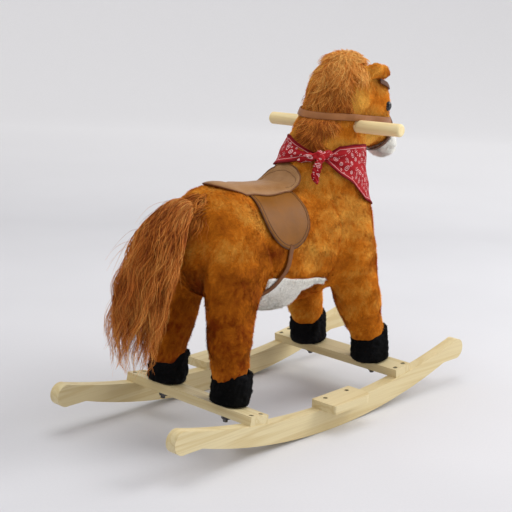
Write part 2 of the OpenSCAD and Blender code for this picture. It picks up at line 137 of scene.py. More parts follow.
def chain(p, shapes, width):
    """Distance to a row of ellipsoids, each linked to the next."""
    total = link(p, shapes[0], shapes[1])
    for a, b in zip(shapes[1:], shapes[2:]):
        total = melt(total, link(p, a, b), width)
    return total


def ripple(p, wavelength, seed):
    """A smooth random field with a spread of about 1, the sum of a few waves."""
    waves = 7
    rng = np.random.default_rng(seed)
    total = np.zeros(len(p))
    for _ in range(waves):
        way = unit(rng.normal(size=3)) * 2 * math.pi / wavelength * rng.uniform(0.7, 1.4)
        total += np.sin(p @ way + rng.uniform(0, 2 * math.pi))
    return total / math.sqrt(waves / 2)


def fold_y(p):
    """Both sides of the horse as its left side."""
    return np.abs(p * [0, 1, 0]) + p * [1, 0, 1]


def groove(distance, width, depth):
    return depth * np.exp(-(distance / width) ** 2)


def trunk(p):
    tucked = p.copy()
    tucked[:, 2] += 0.13 * np.minimum(p[:, 2] - BODY_Z + 45, 0)
    return chain(tucked, [RUMP, LOIN, BARREL, HEART, CHEST], 12)


def head_alone(p):
    skull = melt(link(p, POLL, BROW), link(p, BROW, CHEEK), 12)
    face = melt(link(p, BROW, BRIDGE), link(p, CHEEK, BRIDGE), 8)
    return melt(skull, face, 10)


def neck_and_head(p):
    return melt(link(p, WITHERS, THROAT), head_alone(p), 16)


def legs(p):
    q = fold_y(p)
    hind = chain(q, [THIGH, HOCK, HIND_PASTERN], 10)
    fore = chain(q, [FOREARM, KNEE, FORE_PASTERN], 10)
    return np.minimum(hind, fore)


def smooth_body(p):
    """The stuffed body without its seams, which the tack lies on."""
    return melt(melt(trunk(p), neck_and_head(p), 24), legs(p), 14)


def seams(p):
    """Depth of the sewn grooves."""
    x, y, z = p.T
    side = np.abs(y) > 25
    shoulder_x = 55 + 20 * np.sin(np.clip((BODY_Z + 134 - z) / 190, 0, 1) * math.pi)
    shoulder = groove(x - shoulder_x, 4, 3.0) * side * (z > BODY_Z - 60)
    hip_x = -112 + 30 * np.clip((BODY_Z + 30 - z) / 90, 0, 1)
    hip = groove(x - hip_x, 5, 2.5) * side * (z < BODY_Z + 40) * (z > BODY_Z - 60)
    crest = groove(y, 3.5, 1.5) * (z > BODY_Z)
    return shoulder + hip + crest


def body(p):
    """The whole plush cover: body, seams and the lumps of its stuffing."""
    return smooth_body(p) + seams(p) + 1.2 - 0.9 * ripple(p, 66, 3) - 0.35 * ripple(p, 22, 4)


def slope(field, p, step=0.7):
    """Gradient of a field."""
    rise = np.empty_like(p)
    for axis in range(3):
        shift = np.zeros(3)
        shift[axis] = step
        rise[:, axis] = (field(p + shift) - field(p - shift)) / (2 * step)
    return rise


def land(field, p):
    """Points moved along the slope, in two steps, until they lie on the form."""
    for _ in range(2):
        rise = slope(field, p)
        p = p - (field(p) / np.maximum(dot(rise, rise), 0.05))[:, None] * rise
    return p


def drop(field, start, way, height):
    """Points sent from outside along a way until they lie at a height over the form."""
    p = start.copy()
    for _ in range(70):
        p = p + way * np.clip(0.8 * (field(p) - height), -20, 20)[:, None]
    return p


def skin(field, low, high, step, quick_step=None):
    """Quad mesh of the surface where a field is zero: one point per cell that it crosses.

    The field is read on a lattice three times as wide first, and on the fine one only near the surface.
    """
    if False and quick_step:
        step = quick_step
    low, high = np.array(low, float), np.array(high, float)
    wide = 3 * step
    counts = [int((high[a] - low[a]) / wide) + 2 for a in range(3)]
    ticks = [low[a] + step * np.arange(3 * counts[a] - 2) for a in range(3)]

    def points_of(parts):
        return np.stack(np.meshgrid(*parts, indexing="ij"), -1).reshape(-1, 3)

    coarse = field(points_of([t[::3] for t in ticks])).reshape(counts)
    nearest = [(np.arange(len(t)) + 1) // 3 for t in ticks]
    value = coarse[np.ix_(*nearest)]
    near = np.abs(value) < 8 * step
    value[near] = field(points_of(ticks)[near.ravel()])
    cells = tuple(n - 1 for n in value.shape)
    total = np.zeros((math.prod(cells), 3))
    count = np.zeros(math.prod(cells))
    quads = []
    for axis in range(3):
        u, w = (axis + 1) % 3, (axis + 2) % 3
        first = np.take(value, range(value.shape[axis] - 1), axis)
        second = np.take(value, range(1, value.shape[axis]), axis)
        at = np.argwhere((first < 0) != (second < 0))
        inner = np.ones(len(at), bool)
        for a in (u, w):
            inner &= (at[:, a] > 0) & (at[:, a] < value.shape[a] - 1)
        at = at[inner]
        here, there = first[tuple(at.T)], second[tuple(at.T)]
        crossing = at.astype(float)
        crossing[:, axis] += here / (here - there)
        ring = []
        for du, dw in ((0, 0), (1, 0), (1, 1), (0, 1)):
            cell = at.copy()
            cell[:, u] -= du
            cell[:, w] -= dw
            flat = np.ravel_multi_index(cell.T, cells)
            ring.append(flat)
            count += np.bincount(flat, minlength=len(count))
            for a in range(3):
                total[:, a] += np.bincount(flat, crossing[:, a], len(count))
        quad = np.stack(ring, 1)
        quad[here >= 0] = quad[here >= 0][:, ::-1]
        quads.append(quad)
    quads = np.concatenate(quads)
    used, numbers = np.unique(quads, return_inverse=True)
    points = low + total[used] / count[used][:, None] * step
    return land(field, points), numbers.reshape(-1, 4)


# ---- Making pieces ----


def add_object(name, data):
    thing = bpy.data.objects.new(name, data)
    bpy.context.scene.collection.objects.link(thing)
    return thing


def make_piece(name, points, faces, material, slot, body_name="horse", stands_for=()):
    """An object from points in millimetres and one or more arrays of faces."""
    faces = faces if isinstance(faces, list) else [faces]
    sides = np.concatenate([np.full(len(f), f.shape[1]) for f in faces])
    corners = np.concatenate([f.ravel() for f in faces])
    mesh = bpy.data.meshes.new(name)
    mesh.vertices.add(len(points))
    mesh.vertices.foreach_set("co", (np.asarray(points) / 1000).astype(np.float32).ravel())
    mesh.loops.add(len(corners))
    mesh.loops.foreach_set("vertex_index", corners.astype(np.int32))
    mesh.polygons.add(len(sides))
    mesh.polygons.foreach_set("loop_start", (np.cumsum(sides) - sides).astype(np.int32))
    mesh.update(calc_edges=True)
    mesh.polygons.foreach_set("use_smooth", np.ones(len(sides), bool))
    mesh.materials.append(material)
    piece = add_object(name, mesh)
    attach(piece, body_name)
    if stands_for:
        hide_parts(*stands_for)
    return piece


def grid_faces(rows, columns, closed_rows=False, closed_columns=False):
    """Quads over a grid of points that is numbered row by row."""
    r = np.arange(rows if closed_rows else rows - 1)
    c = np.arange(columns if closed_columns else columns - 1)
    r, c = [a.ravel() for a in np.meshgrid(r, c, indexing="ij")]
    r2, c2 = (r + 1) % rows, (c + 1) % columns
    return np.stack([r * columns + c, r * columns + c2, r2 * columns + c2, r2 * columns + c], 1)


def fan(first, second, middle):
    """Triangles from the edges between two rows of point numbers to one middle point."""
    return np.stack([first, second, np.full(len(first), middle)], 1)


def set_tone(piece, tone):
    """Per-point values for the material: along the hair, a random share, how the pile lies with painted light
    and shade added on the body.
    """
    layer = piece.data.attributes.new("tone", "FLOAT_COLOR", "POINT")
    rgba = np.ones((len(tone), 4), np.float32)
    rgba[:, :3] = tone
    layer.data.foreach_set("color", rgba.ravel())


def set_vectors(piece, name, vectors):
    """A vector for each point, such as a shading normal or a place in a print."""
    layer = piece.data.attributes.new(name, "FLOAT_VECTOR", "POINT")
    layer.data.foreach_set("vector", np.asarray(vectors, np.float32).ravel())


def cells_of_square(count):
    """Corners of equal cells that tile a square, one for each hair, and how many are in a row."""
    row = math.ceil(math.sqrt(count))
    which = np.arange(count)
    return np.stack([which % row, which // row], 1).astype(float), row


def set_layout(piece, places):
    """A texture layout named OFBake: a place in the square for each face corner."""
    layer = piece.data.uv_layers.new(name="OFBake")
    layer.data.foreach_set("uv", places.astype(np.float32).ravel())


# ---- Fur and hair ----


def scatter(points, quads, count, rng):
    """Random points spread evenly over a mesh."""
    a, b, c, d = (points[quads[:, i]] for i in range(4))
    area = length(np.cross(c - a, d - b))
    pick = rng.choice(len(quads), count, p=area / area.sum())
    u, v = rng.random((2, count, 1))
    a, b, c, d = a[pick], b[pick], c[pick], d[pick]
    return (a * (1 - u) + b * u) * (1 - v) + (d * (1 - u) + c * u) * v


def coat_lay(p, seed):
    """Patches of the coat: low where it looks dark, high where it looks light."""
    return 0.53 + 0.12 * ripple(p, 85, seed) + 0.045 * ripple(p, 28, seed + 1) + 0.05 * ripple(p, 8, seed + 2)


ROOT_DEPTH = 1.2    # how far under the skin a tuft starts


def pile(name, field, roots, flow, hair_length, fur, seed, lean, width=0.9, painted_light=0.0):
    """Short fur: one thin triangle per tuft, combed along the flow in loose swirls."""
    rng = np.random.default_rng(seed)
    out = unit(slope(field, roots))
    flow = np.broadcast_to(flow, roots.shape)
    flow = unit(flow - dot(flow, out)[:, None] * out)
    lay = coat_lay(roots, seed)
    turn = 0.8 * ripple(roots, 46, seed + 3) + rng.normal(0, 0.3, len(roots))
    flow = flow * np.cos(turn)[:, None] + np.cross(out, flow) * np.sin(turn)[:, None]
    tilt = lean + 0.35 * (0.5 - lay) + rng.normal(0, 0.13, len(roots))
    tilt = np.clip(tilt, 0.3, 1.35)[:, None]
    way = out * np.cos(tilt) + flow * np.sin(tilt)
    reach = (hair_length * rng.uniform(0.65, 1.25, len(roots)))[:, None]
    across = unit(np.cross(way, out + 0.3 * rng.normal(size=roots.shape)))
    base = roots - out * ROOT_DEPTH
    half = width / 2 * rng.uniform(0.7, 1.3, len(roots))[:, None]
    points = np.stack([base - across * half, base + across * half, base + way * reach], 1).reshape(-1, 3)
    faces = np.arange(len(points)).reshape(-1, 3)
    piece = make_piece(name, points, faces, fur.tufts, slot=fur.slot)
    facing = 0.62 * out + 0.38 * (out * np.sin(tilt) - flow * np.cos(tilt))
    facing = unit(facing + rng.normal(0, 0.1, roots.shape))
    set_vectors(piece, "custom_normal", np.repeat(facing, 3, 0))
    along = np.tile([0.0, 0.0, 1.0], len(roots))
    # the third value is how the pile lies, plus the painted light and shade that is given
    set_tone(piece, np.stack([along, np.repeat(rng.random(len(roots)), 3), np.repeat(lay + painted_light, 3)], 1))
    cell, row = cells_of_square(len(roots))
    corners = np.tile([[0.0, 0.0], [1.0, 0.0], [0.5, 1.0]], (len(roots), 1))
    set_layout(piece, (np.repeat(cell, 3, 0) + 0.1 + 0.8 * corners) / row)


def strands(name, paths, widths, material, seed, body_name="horse", stands_for=()):
    """Long hair: each path becomes a closed three-sided strand."""
    rng = np.random.default_rng(seed)
    count, steps = paths.shape[:2]
    ahead = unit(np.gradient(paths, axis=1))
    hint = unit(rng.normal(size=(count, 1, 3)) + np.zeros((1, steps, 1)))
    side = unit(np.cross(ahead, hint))
    up = np.cross(side, ahead)
    around = np.arange(3) * 2 * math.pi / 3
    ring = (side[:, :, None] * np.cos(around)[:, None] + up[:, :, None] * np.sin(around)[:, None])
    points = (paths[:, :, None] + ring * widths[:, :, None, None] / 2).reshape(-1, 3)
    tube_faces = grid_faces(steps, 3, closed_columns=True)[:, ::-1]
    caps = np.array([[2, 1, 0], [3 * steps - 3, 3 * steps - 2, 3 * steps - 1]])
    shift = (np.arange(count) * steps * 3)[:, None, None]
    faces = [(part + shift).reshape(-1, part.shape[1]) for part in (tube_faces, caps)]
    piece = make_piece(name, points, faces, material, "long_hair", body_name, stands_for)
    along = np.tile(np.repeat(np.linspace(0, 1, steps), 3), count)
    chance = np.repeat(rng.random(count), steps * 3)
    set_tone(piece, np.stack([along, chance, np.zeros(len(along))], 1))
    cell, row = cells_of_square(count)
    step, column = np.divmod(np.arange(len(tube_faces)), 3)
    turns = ((0, 1), (1, 1), (1, 0), (0, 0))
    corner = np.stack([np.stack([column + a, step + b], 1) for a, b in turns], 1)
    places = (cell[:, None, None] + 0.1 + 0.8 * corner / [3, steps - 1]).reshape(-1, 2)
    set_layout(piece, np.concatenate([places, np.repeat(cell + 0.5, 6, axis=0)]) / row)


def tapered(widths, share, loss):
    """Widths of strands that grow thinner with the share of the way to their ends."""
    return widths * (1.05 - loss * share ** 2)


def smooth(a, b, c, d, f):
    """The point at a share f of a smooth curve's way from b to c, with a before and d after them."""
    return b + 0.5 * f * (c - a + f * (2 * a - 5 * b + 4 * c - d + f * (3 * (b - c) + d - a)))


def curve_through(knots, t):
    """Points on a smooth curve through evenly timed knots, for t from 0 to 1."""
    knots = np.asarray(knots, float)
    padded = np.concatenate([[2 * knots[0] - knots[1]], knots, [2 * knots[-1] - knots[-2]]])
    at = np.clip(t, 0, 1.2) * (len(knots) - 1)
    i = np.minimum(at.astype(int), len(knots) - 2)
    f = (at - i)[..., None]
    return smooth(padded[i], padded[i + 1], padded[i + 2], padded[i + 3], f)


# ---- Materials ----


def srgb(r, g, b):
    """A colour given as 0 to 255 display values, as the shader wants it."""
    def linear(v):
        v /= 255
        return v / 12.92 if v <= 0.04045 else ((v + 0.055) / 1.055) ** 2.4
    return (linear(r), linear(g), linear(b), 1)


class Shade:
    """A material and short ways to add nodes to it."""

    def __init__(self, name, roughness, specular=0.5):
        self.material = bpy.data.materials.new(name)
        self.material.use_nodes = True
        self.tree = self.material.node_tree
        self.shader = self.tree.nodes["Principled BSDF"]
        self.set("Roughness", roughness)
        self.set("Specular IOR Level", specular)
        self.place = self.node("TexCoord", {}, "Object")

    def set(self, socket, value):
        self.put(self.shader.inputs[socket], value)

    def put(self, socket, value):
        if isinstance(value, bpy.types.NodeSocket):
            self.tree.links.new(value, socket)
        else:
            socket.default_value = value

    def node(self, kind, inputs, output=0, **fields):
        """Adds a node, fills inputs by name or number, and gives one output or a slice of them."""
        node = self.tree.nodes.new("ShaderNode" + kind)
        for field, value in fields.items():
            setattr(node, field, value)
        for key, value in inputs.items():
            self.put(node.inputs[key], value)
        return node.outputs[output]

    def stretch(self, scale):
        return self.node("Mapping", {"Vector": self.place, "Scale": scale})

    def noise(self, scale, detail, roughness=0.5, distortion=0.0, place=None):
        return self.node("TexNoise", {"Vector": place or self.place, "Scale": scale, "Detail": detail,
                                      "Roughness": roughness, "Distortion": distortion})

    def math(self, operation, *values):
        return self.node("Math", dict(enumerate(values)), operation=operation)

    def plus(self, a, b):
        return self.math("ADD", a, b)

    def times(self, a, b):
        return self.math("MULTIPLY", a, b)

    def most(self, a, b):
        return self.math("MAXIMUM", a, b)

    def far(self, a, b):
        """Length of the vector (a, b)."""
        return self.math("SQRT", self.plus(self.times(a, a), self.times(b, b)))

    def near(self, value, middle, half):
        """1 where a value is within half of the middle, otherwise 0."""
        return self.math("COMPARE", value, middle, half)

    def span(self, value, low, high, to_low=0.0, to_high=1.0):
        return self.node("MapRange", dict(enumerate((value, low, high, to_low, to_high))))

    def mix(self, share, a, b, blend="MIX"):
        return self.node("Mix", {"Factor": share, 6: a, 7: b}, 2, data_type="RGBA", blend_type=blend)

    def tones(self, share, stops, colours):
        """Three colours in turn, as the share runs over three stops."""
        low, middle, high = stops
        dark_half = self.mix(self.span(share, low, middle), colours[0], colours[1])
        return self.mix(self.span(share, middle, high), dark_half, colours[2])

    def dim(self, colour, level):
        grey = self.node("CombineColor", {0: level, 1: level, 2: level})
        return self.mix(1.0, colour, grey, "MULTIPLY")

    def vector(self, operation, a, b=(0.0, 0.0, 0.0)):
        second = "Scale" if operation == "SCALE" else 1
        return self.node("VectorMath", {0: a, second: b}, operation=operation)

    def turn(self, place, angle):
        return self.node("VectorRotate", {"Vector": place, "Angle": angle}, rotation_type="Z_AXIS")

    def parts(self, vector):
        return self.node("SeparateXYZ", {0: vector}, slice(0, 3))

    def attribute(self, name):
        colour = self.node("Attribute", {}, "Color", attribute_name=name)
        return self.node("SeparateColor", {0: colour}, slice(0, 3))

    def bump(self, height, distance, strength):
        inputs = {"Strength": strength, "Distance": distance, "Height": height}
        self.set("Normal", self.node("Bump", inputs, "Normal"))

    def paint(self, colour):
        self.set("Base Color", colour)
        return self.material


Plush = namedtuple("Plush", "slot tufts backing")


def plush_material(name, colours, on_tufts, roots=0.62):
    """Short fur: patches that lie one way or another, and tips lighter than roots: painted shade at the
    roots, and on the backing between the tufts.
    """
    shade = Shade(name, 0.85, 0.06)
    shade.set("Sheen Weight", 0.15)
    shade.set("Sheen Roughness", 0.4)
    shade.set("Sheen Tint", colours[2])
    if on_tufts:
        # lay: how the pile lies, with painted light and shade added on the body
        along, chance, lay = shade.attribute("tone")
        # painted shade: darker towards the roots of the tufts, from the roots value up to a little over full
        # at the tips
        level = shade.plus(shade.span(along, 0, 1, roots, 1.1), shade.span(chance, 0, 1, -0.13, 0.13))
    else:
        lay = shade.span(shade.noise(11, 4, 0.55, 0.8), 0.3, 0.7)
        # painted shade on the backing, which shows between the tufts
        level = shade.span(shade.noise(420, 2), 0.35, 0.65, roots - 0.12, roots + 0.23)
        shade.bump(shade.noise(300, 3), 0.002, 0.6)
    fine = shade.span(shade.noise(90, 3, 0.6, 0.4), 0.3, 0.7, -0.1, 0.1)
    colour = shade.tones(shade.plus(lay, fine), (0.05, 0.5, 0.98), colours)
    return shade.paint(shade.dim(colour, level))


def plush(name, slot, colours, roots=0.62):
    """A plush: the material of its tufts, and of the backing that shows between them; roots gives how much
    painted shade darkens the roots.
    """
    return Plush(slot, plush_material(name + "_plush_tufts", colours, True, roots),
                 plush_material(name + "_plush_backing", colours, False, roots))


def hair_material(name, *colours, painted_light_above=None):
    """Long hair; with a height in metres given, painted light over that height and painted shade under it."""
    shade = Shade(name, 0.6, 0.14)
    along, chance, _ = shade.attribute("tone")
    share = shade.plus(shade.span(shade.noise(16, 3, 0.6), 0.3, 0.7, -0.2, 0.35), chance)
    # painted light on the top of the mane, painted shade lower down
    if painted_light_above:
        height = shade.parts(shade.place)[2]
        share = shade.plus(share, shade.span(height, painted_light_above - 0.06, painted_light_above + 0.04, -0.25, 0.45))
    colour = shade.tones(share, (0.05, 0.65, 1.25), colours)
    # painted shade: darker towards the roots, over the first half of each strand
    return shade.paint(shade.dim(colour, shade.span(along, 0, 0.5, 0.7, 1.0)))


def wood_material(name, grain, pale, middle_tone, dark):
    """Pine with its grain along one axis: 0 for x, 1 for y, 2 for z."""
    shade = Shade(name, 0.5, 0.35)

    def drawn_out(across, along):
        return shade.stretch([along if axis == grain else across for axis in range(3)])

    rings = shade.noise(1, 2, 0.5, 0.2, drawn_out(22.0, 0.9))
    lines = shade.math("SINE", shade.times(rings, 46))
    fibres = shade.noise(1, 3, 0.6, 0.0, drawn_out(520.0, 8.0))
    blotch = shade.noise(1, 3, 0.5, 0.0, drawn_out(7.0, 1.5))
    colour = shade.mix(shade.span(lines, 0.1, 1.0, 0.0, 0.6), pale, middle_tone)
    colour = shade.mix(shade.span(fibres, 0.5, 0.8, 0.0, 0.42), colour, dark)
    colour = shade.mix(shade.span(blotch, 0.4, 0.8, 0.0, 0.45), colour, middle_tone)
    shade.set("Roughness", shade.span(fibres, 0.3, 0.7, 0.42, 0.58))
    shade.bump(shade.plus(fibres, shade.times(lines, 0.2)), 0.0003, 0.4)
    return shade.paint(colour)


def leather_material(name, light, dark, grain_scale=620):
    shade = Shade(name, 0.42, 0.16)
    grain = shade.node("TexVoronoi", {"Vector": shade.place, "Scale": grain_scale}, "Distance")
    blotch = shade.noise(26, 4, 0.6)
    colour = shade.mix(shade.span(blotch, 0.3, 0.75), dark, light)
    colour = shade.mix(shade.span(grain, 0.0, 0.5, 0.28, 0.0), colour, dark)
    shade.set("Roughness", shade.span(blotch, 0.3, 0.7, 0.36, 0.5))
    shade.bump(shade.plus(grain, shade.noise(180, 2)), 0.0004, 0.45)
    return shade.paint(colour)


def steel_material(name, dark, light):
    shade = Shade(name, 0.38)
    shade.set("Metallic", 1.0)
    worn = shade.noise(160, 4, 0.6)
    shade.set("Roughness", shade.span(worn, 0.3, 0.7, 0.28, 0.5))
    shade.bump(worn, 0.0002, 0.3)
    return shade.paint(shade.mix(shade.span(worn, 0.4, 0.7), dark, light))


PRINT_PITCH = 0.0145    # metres between the large motifs


def cloth_material():
    """Red cotton with a common bandana print: ringed dots, drops, rosettes and rows of dots."""
    shade = Shade("red_bandana_cotton", 0.85, 0.12)
    place = shade.node("Attribute", {}, "Vector", attribute_name="print")
    hem = shade.parts(place)[2]
    inked = shade.most(print_layer(shade, place, PRINT_PITCH, 0.6, True),
                       print_layer(shade, place, PRINT_PITCH * 0.52, 1.1, False))
    inked = shade.times(inked, shade.math("GREATER_THAN", hem, 0.007))
    inked = shade.most(inked, shade.times(shade.near(hem, 0.0062, 0.0005), 0.7))
    red = shade.mix(shade.span(shade.noise(26, 3), 0.35, 0.7), srgb(148, 20, 28), srgb(176, 36, 42))
    red = shade.mix(shade.math("LESS_THAN", hem, 0.0035), red, srgb(112, 14, 22))
    shade.bump(shade.math("SINE", shade.times(shade.noise(900, 0), 30)), 0.0002, 0.3)
    return shade.paint(shade.mix(inked, red, srgb(222, 184, 184)))


def print_layer(shade, place, pitch, slant, large):
    """One scale of the print: each square of a slanted grid draws one motif, turned at random."""
    near, times = shade.near, shade.times
    flat = shade.vector("MULTIPLY", shade.turn(place, slant), (1 / pitch, 1 / pitch, 0.0))
    row = shade.parts(shade.vector("FLOOR", flat))[1]
    flat = shade.vector("ADD", flat, shade.node("CombineXYZ", {0: times(row, 0.37)}))
    dice = shade.node("TexWhiteNoise", {"Vector": shade.vector("FLOOR", flat)}, "Color")
    kind, spin, size = shade.parts(dice)
    middle = shade.vector("ADD", shade.vector("SCALE", dice, 0.3), (0.35, 0.35, 0.0))
    local = shade.vector("SUBTRACT", shade.vector("FRACTION", flat), middle)
    local = shade.vector("MULTIPLY", local, (1.0, 1.0, 0.0))
    grown = shade.span(size, 0, 1, 0.85, 1.25)
    x, y, _ = shade.parts(shade.turn(local, times(spin, 6.283)))
    x, y = times(x, grown), times(y, grown)
    out = shade.far(x, y)
    drop_shape = shade.far(x, times(y, shade.span(x, -0.4, 0.4, 1.2, 2.0)))
    angle = shade.math("ABSOLUTE", shade.math("ARCTAN2", y, x))
    petals = times(near(out, 0.25, 0.05), near(shade.math("PINGPONG", angle, math.pi / 6), 0, 0.2))
    ringed_dot = shade.most(near(out, 0, 0.07), near(out, 0.2, 0.04))
    drop_motif = shade.most(near(drop_shape, 0.33, 0.035), near(drop_shape, 0.1, 0.04))
    rosette = shade.most(petals, near(out, 0, 0.08))
    dots = times(near(shade.math("PINGPONG", x, 0.11), 0, 0.03), near(y, 0, 0.035))
    if large:
        motifs = (ringed_dot, 0.15, 0.15), (drop_motif, 0.46, 0.16), (rosette, 0.76, 0.14), (dots, 0.95, 0.05)
    else:
        motifs = (near(out, 0.17, 0.05), 0.1, 0.1), (near(out, 0, 0.12), 0.3, 0.1), (dots, 0.5, 0.08)
    inked = 0.0
    for motif, middle, half in motifs:
        inked = shade.most(times(motif, near(kind, middle, half)), inked)
    return inked


def eye_material():
    shade = Shade("black_eye_plastic", 0.16, 0.45)
    return shade.paint(shade.mix(shade.span(shade.noise(60, 2), 0.3, 0.7), srgb(5, 5, 10), srgb(14, 14, 24)))


GOLDEN = plush("golden", "brown_plush", (srgb(134, 54, 5), srgb(217, 125, 28), srgb(251, 190, 84)))
# 0.84: white plush is darkened less by painted shade at the roots
WHITE = plush("white", "white_plush", (srgb(228, 225, 216), srgb(238, 236, 229), srgb(243, 242, 238)), 0.84)
BLACK = plush("black", "black_plush", (srgb(8, 8, 9), srgb(17, 17, 18), srgb(30, 30, 33)))
PINK_TONES = srgb(176, 96, 70), srgb(208, 124, 96), srgb(228, 156, 128)
PINK = Plush("brown_plush", plush_material("pink_ear_lining", PINK_TONES, True), None)
LEATHER = leather_material("tan_leatherette", srgb(165, 124, 83), srgb(140, 100, 61))
FLAP_LEATHER = leather_material("flap_leatherette", srgb(137, 85, 20), srgb(115, 70, 13))
STRAP_LEATHER = leather_material("strap_leatherette", srgb(168, 113, 70), srgb(134, 85, 49))
GIRTH_LEATHER = leather_material("girth_leatherette", srgb(134, 86, 48), srgb(96, 58, 30))
DARK_LEATHER = leather_material("welt_leatherette", srgb(104, 66, 40), srgb(72, 42, 24))
THREAD = leather_material("gold_thread", srgb(214, 176, 112), srgb(176, 132, 72), 900)
DARK_THREAD = leather_material("dark_thread", srgb(52, 34, 22), srgb(30, 20, 14), 900)
LONG_HAIR = hair_material("chestnut_long_hair", srgb(136, 64, 16), srgb(218, 127, 51), srgb(252, 193, 106))
# the mane has painted light over 0.55 m
MANE_HAIR = hair_material("mane_hair", srgb(158, 81, 25), srgb(231, 144, 58), srgb(255, 204, 114),
                          painted_light_above=0.55)
# painted shade: a dark hair colour for the body deep inside the tail
TAIL_SHADE_CORE = hair_material("painted_shade_tail_core", srgb(70, 30, 10), srgb(96, 46, 16), srgb(120, 62, 24))
PINE = srgb(223, 207, 163), srgb(206, 184, 132), srgb(176, 146, 97)
PALE_PINE = srgb(244, 226, 176), srgb(232, 208, 152), srgb(204, 172, 116)
CLOTH = cloth_material()
EYE = eye_material()


# ---- Wood and steel from the frame ----


WOOD_ALONG = (
    ("x", ("runner_left", "runner_right", "footrest_left", "footrest_right", "spine_beam")),
    ("y", ("cross_board_front", "cross_board_rear", "hip_block_front", "hip_block_rear")),
    ("z", ("neck_board", "leg_post_front_left", "leg_post_front_right", "leg_post_rear_left",
           "leg_post_rear_right")))
EASED_EDGE = 0.0014


def repaint(node, material):
    piece = frame["nodes"][node]
    piece.data.materials.clear()
    piece.data.materials.append(material)
    return piece


def finish_wood():
    """Grain along every board and post, eased edges, and zinc on screws and studs."""
    repaint("handle", wood_material("pale_turned_pine", 1, *PALE_PINE))
    for grain, (axis, nodes) in enumerate(WOOD_ALONG):
        pine = wood_material("pine_along_" + axis, grain, *PINE)
        for node in nodes:
            bevel = repaint(node, pine).modifiers.new("eased_edges", "BEVEL")
            bevel.width = EASED_EDGE
            bevel.segments = 3
            bevel.limit_method = "ANGLE"
            bevel.angle_limit = math.radians(40)
    yellow = steel_material("yellow_zinc_steel", srgb(128, 120, 96), srgb(166, 156, 124))
    for node in ("board_screws", "footrest_screws"):
        repaint(node, yellow)
    dark = steel_material("dark_zinc_steel", srgb(70, 70, 74), srgb(112, 110, 108))
    for node in ("leg_studs", "leg_washers", "leg_nuts", "handle_pin"):
        repaint(node, dark)


# ---- Plush body ----


COAT_SEED = 21    # gives the cover and the fur on it the same patches


def comb_body(p):
    """Which way the fur lies: back along the body, down the legs and the neck."""
    _, y, z = p.T
    low = np.clip((BODY_Z - 40 - z) / 60, 0, 1)
    high = np.clip((z - BODY_Z - 120) / 60, 0, 1)
    return np.stack([-1 + 0.9 * low + 0.5 * high, 0.2 * np.sign(y) * low, -0.45 - low - 0.8 * high], 1)


def coat_painted_light(p):
    """Painted shade down the legs and over the back of the thighs, painted light on top and in front."""
    x, _, z = p.T
    painted_light = 0.12 * np.clip((z - BODY_Z - 20) / 100, -1.2, 1) + 0.1 * np.clip((x + 20) / 140, -1, 1)
    return painted_light + 0.12 * np.clip(-x / 150, 0, 1) * np.clip((z - BODY_Z - 30) / 60, -0.7, 1)


def cover(name, points, quads, fur, node, count, seed):
    """A piece of padded plush; gives the roots of its tufts."""
    piece = make_piece(name, points, quads, fur.backing, slot=fur.slot, stands_for=[node])
    return scatter(points, quads, count, np.random.default_rng(seed))


def make_body():
    """The sewn cover of the whole horse, and its fur in three pieces."""
    low, high = [-245, -112, DECK_Z + 22], [292, 112, HANDLE_Z + 136]
    points, quads = skin(body, low, high, 3.2, 4.5)
    nodes = ["torso", "neck", "head", "leg_front_left", "leg_front_right", "leg_rear_left", "leg_rear_right"]
    piece = make_piece("plush_cover", points, quads, GOLDEN.tufts, slot=GOLDEN.slot, stands_for=nodes)
    # patches of the pile, plus painted light on top and in front and painted shade down the legs and behind
    coat = coat_lay(points, COAT_SEED) + coat_painted_light(points)
    # the cover gets the tufts' material a fifth of the way along a tuft, with the painted shade of the roots
    set_tone(piece, np.stack([np.full(len(coat), 0.2), np.full(len(coat), 0.5), coat], 1))
    count = 420000
    roots = scatter(points, quads, count, np.random.default_rng(11))
    roots = roots[(roots[:, 2] > DECK_Z + 60) & ~under_tack(roots)]
    x, _, z = roots.T
    on_head = (z > BODY_Z + 110) & (x > 20)
    on_leg = z < BODY_Z - 62
    for name, part in (("fur_head", on_head), ("fur_legs", on_leg), ("fur_trunk", ~on_head & ~on_leg)):
        some = roots[part]
        # the tufts get the same painted light and shade as the cover under them
        pile(name, body, some, comb_body(some), 6.5, GOLDEN, COAT_SEED, 1.12, 1.0, coat_painted_light(some))


def belly_edge(p):
    """Negative within the white panel, which narrows to a strip between the front legs."""
    x, _, z = p.T
    wavy = 1.2 * ripple(p * [1, 1, 0.5], 34, 31)
    top = z - (BODY_Z - 49 + 0.168 * (44 - x)) - 0.4 * wavy
    strip = np.maximum(BODY_Z - 59 - z, x - 44)
    return np.maximum(np.maximum(top, -108 - x), np.minimum(x + 13 + wavy, strip + wavy))


def belly(p):
    return -melt(-(trunk(p) - 2.6 - 0.4 * ripple(p, 46, 32)), -belly_edge(p), 2.5)


def make_belly():
    (rear, _, _), (front, _, _) = box_mm("belly_panel")
    points, quads = skin(belly, [rear - 22, -96, BODY_Z - 124], [front + 20, 96, BODY_Z - 14], 2.6, 4)
    roots = cover("belly_plush", points, quads, WHITE, "belly_panel", 60000, 33)
    roots = roots[trunk(roots) > 1.2]
    flow = np.sign(roots) * [0, 0.3, 0] + [-1, 0, -0.6]
    pile("fur_belly", belly, roots, flow, 5.5, WHITE, 34, 1.2)


MUZZLE_WAY = unit(LIPS[0] - BRIDGE[0])
MUZZLE_BACK = -30.0    # where the muzzle starts along that way, from the lips


def muzzle(p):
    return melt(link(p, (BRIDGE[0], BRIDGE[1] * 0.9), LIPS), ball(p, LIPS), 8) - 2 - 0.4 * ripple(p, 30, 41)


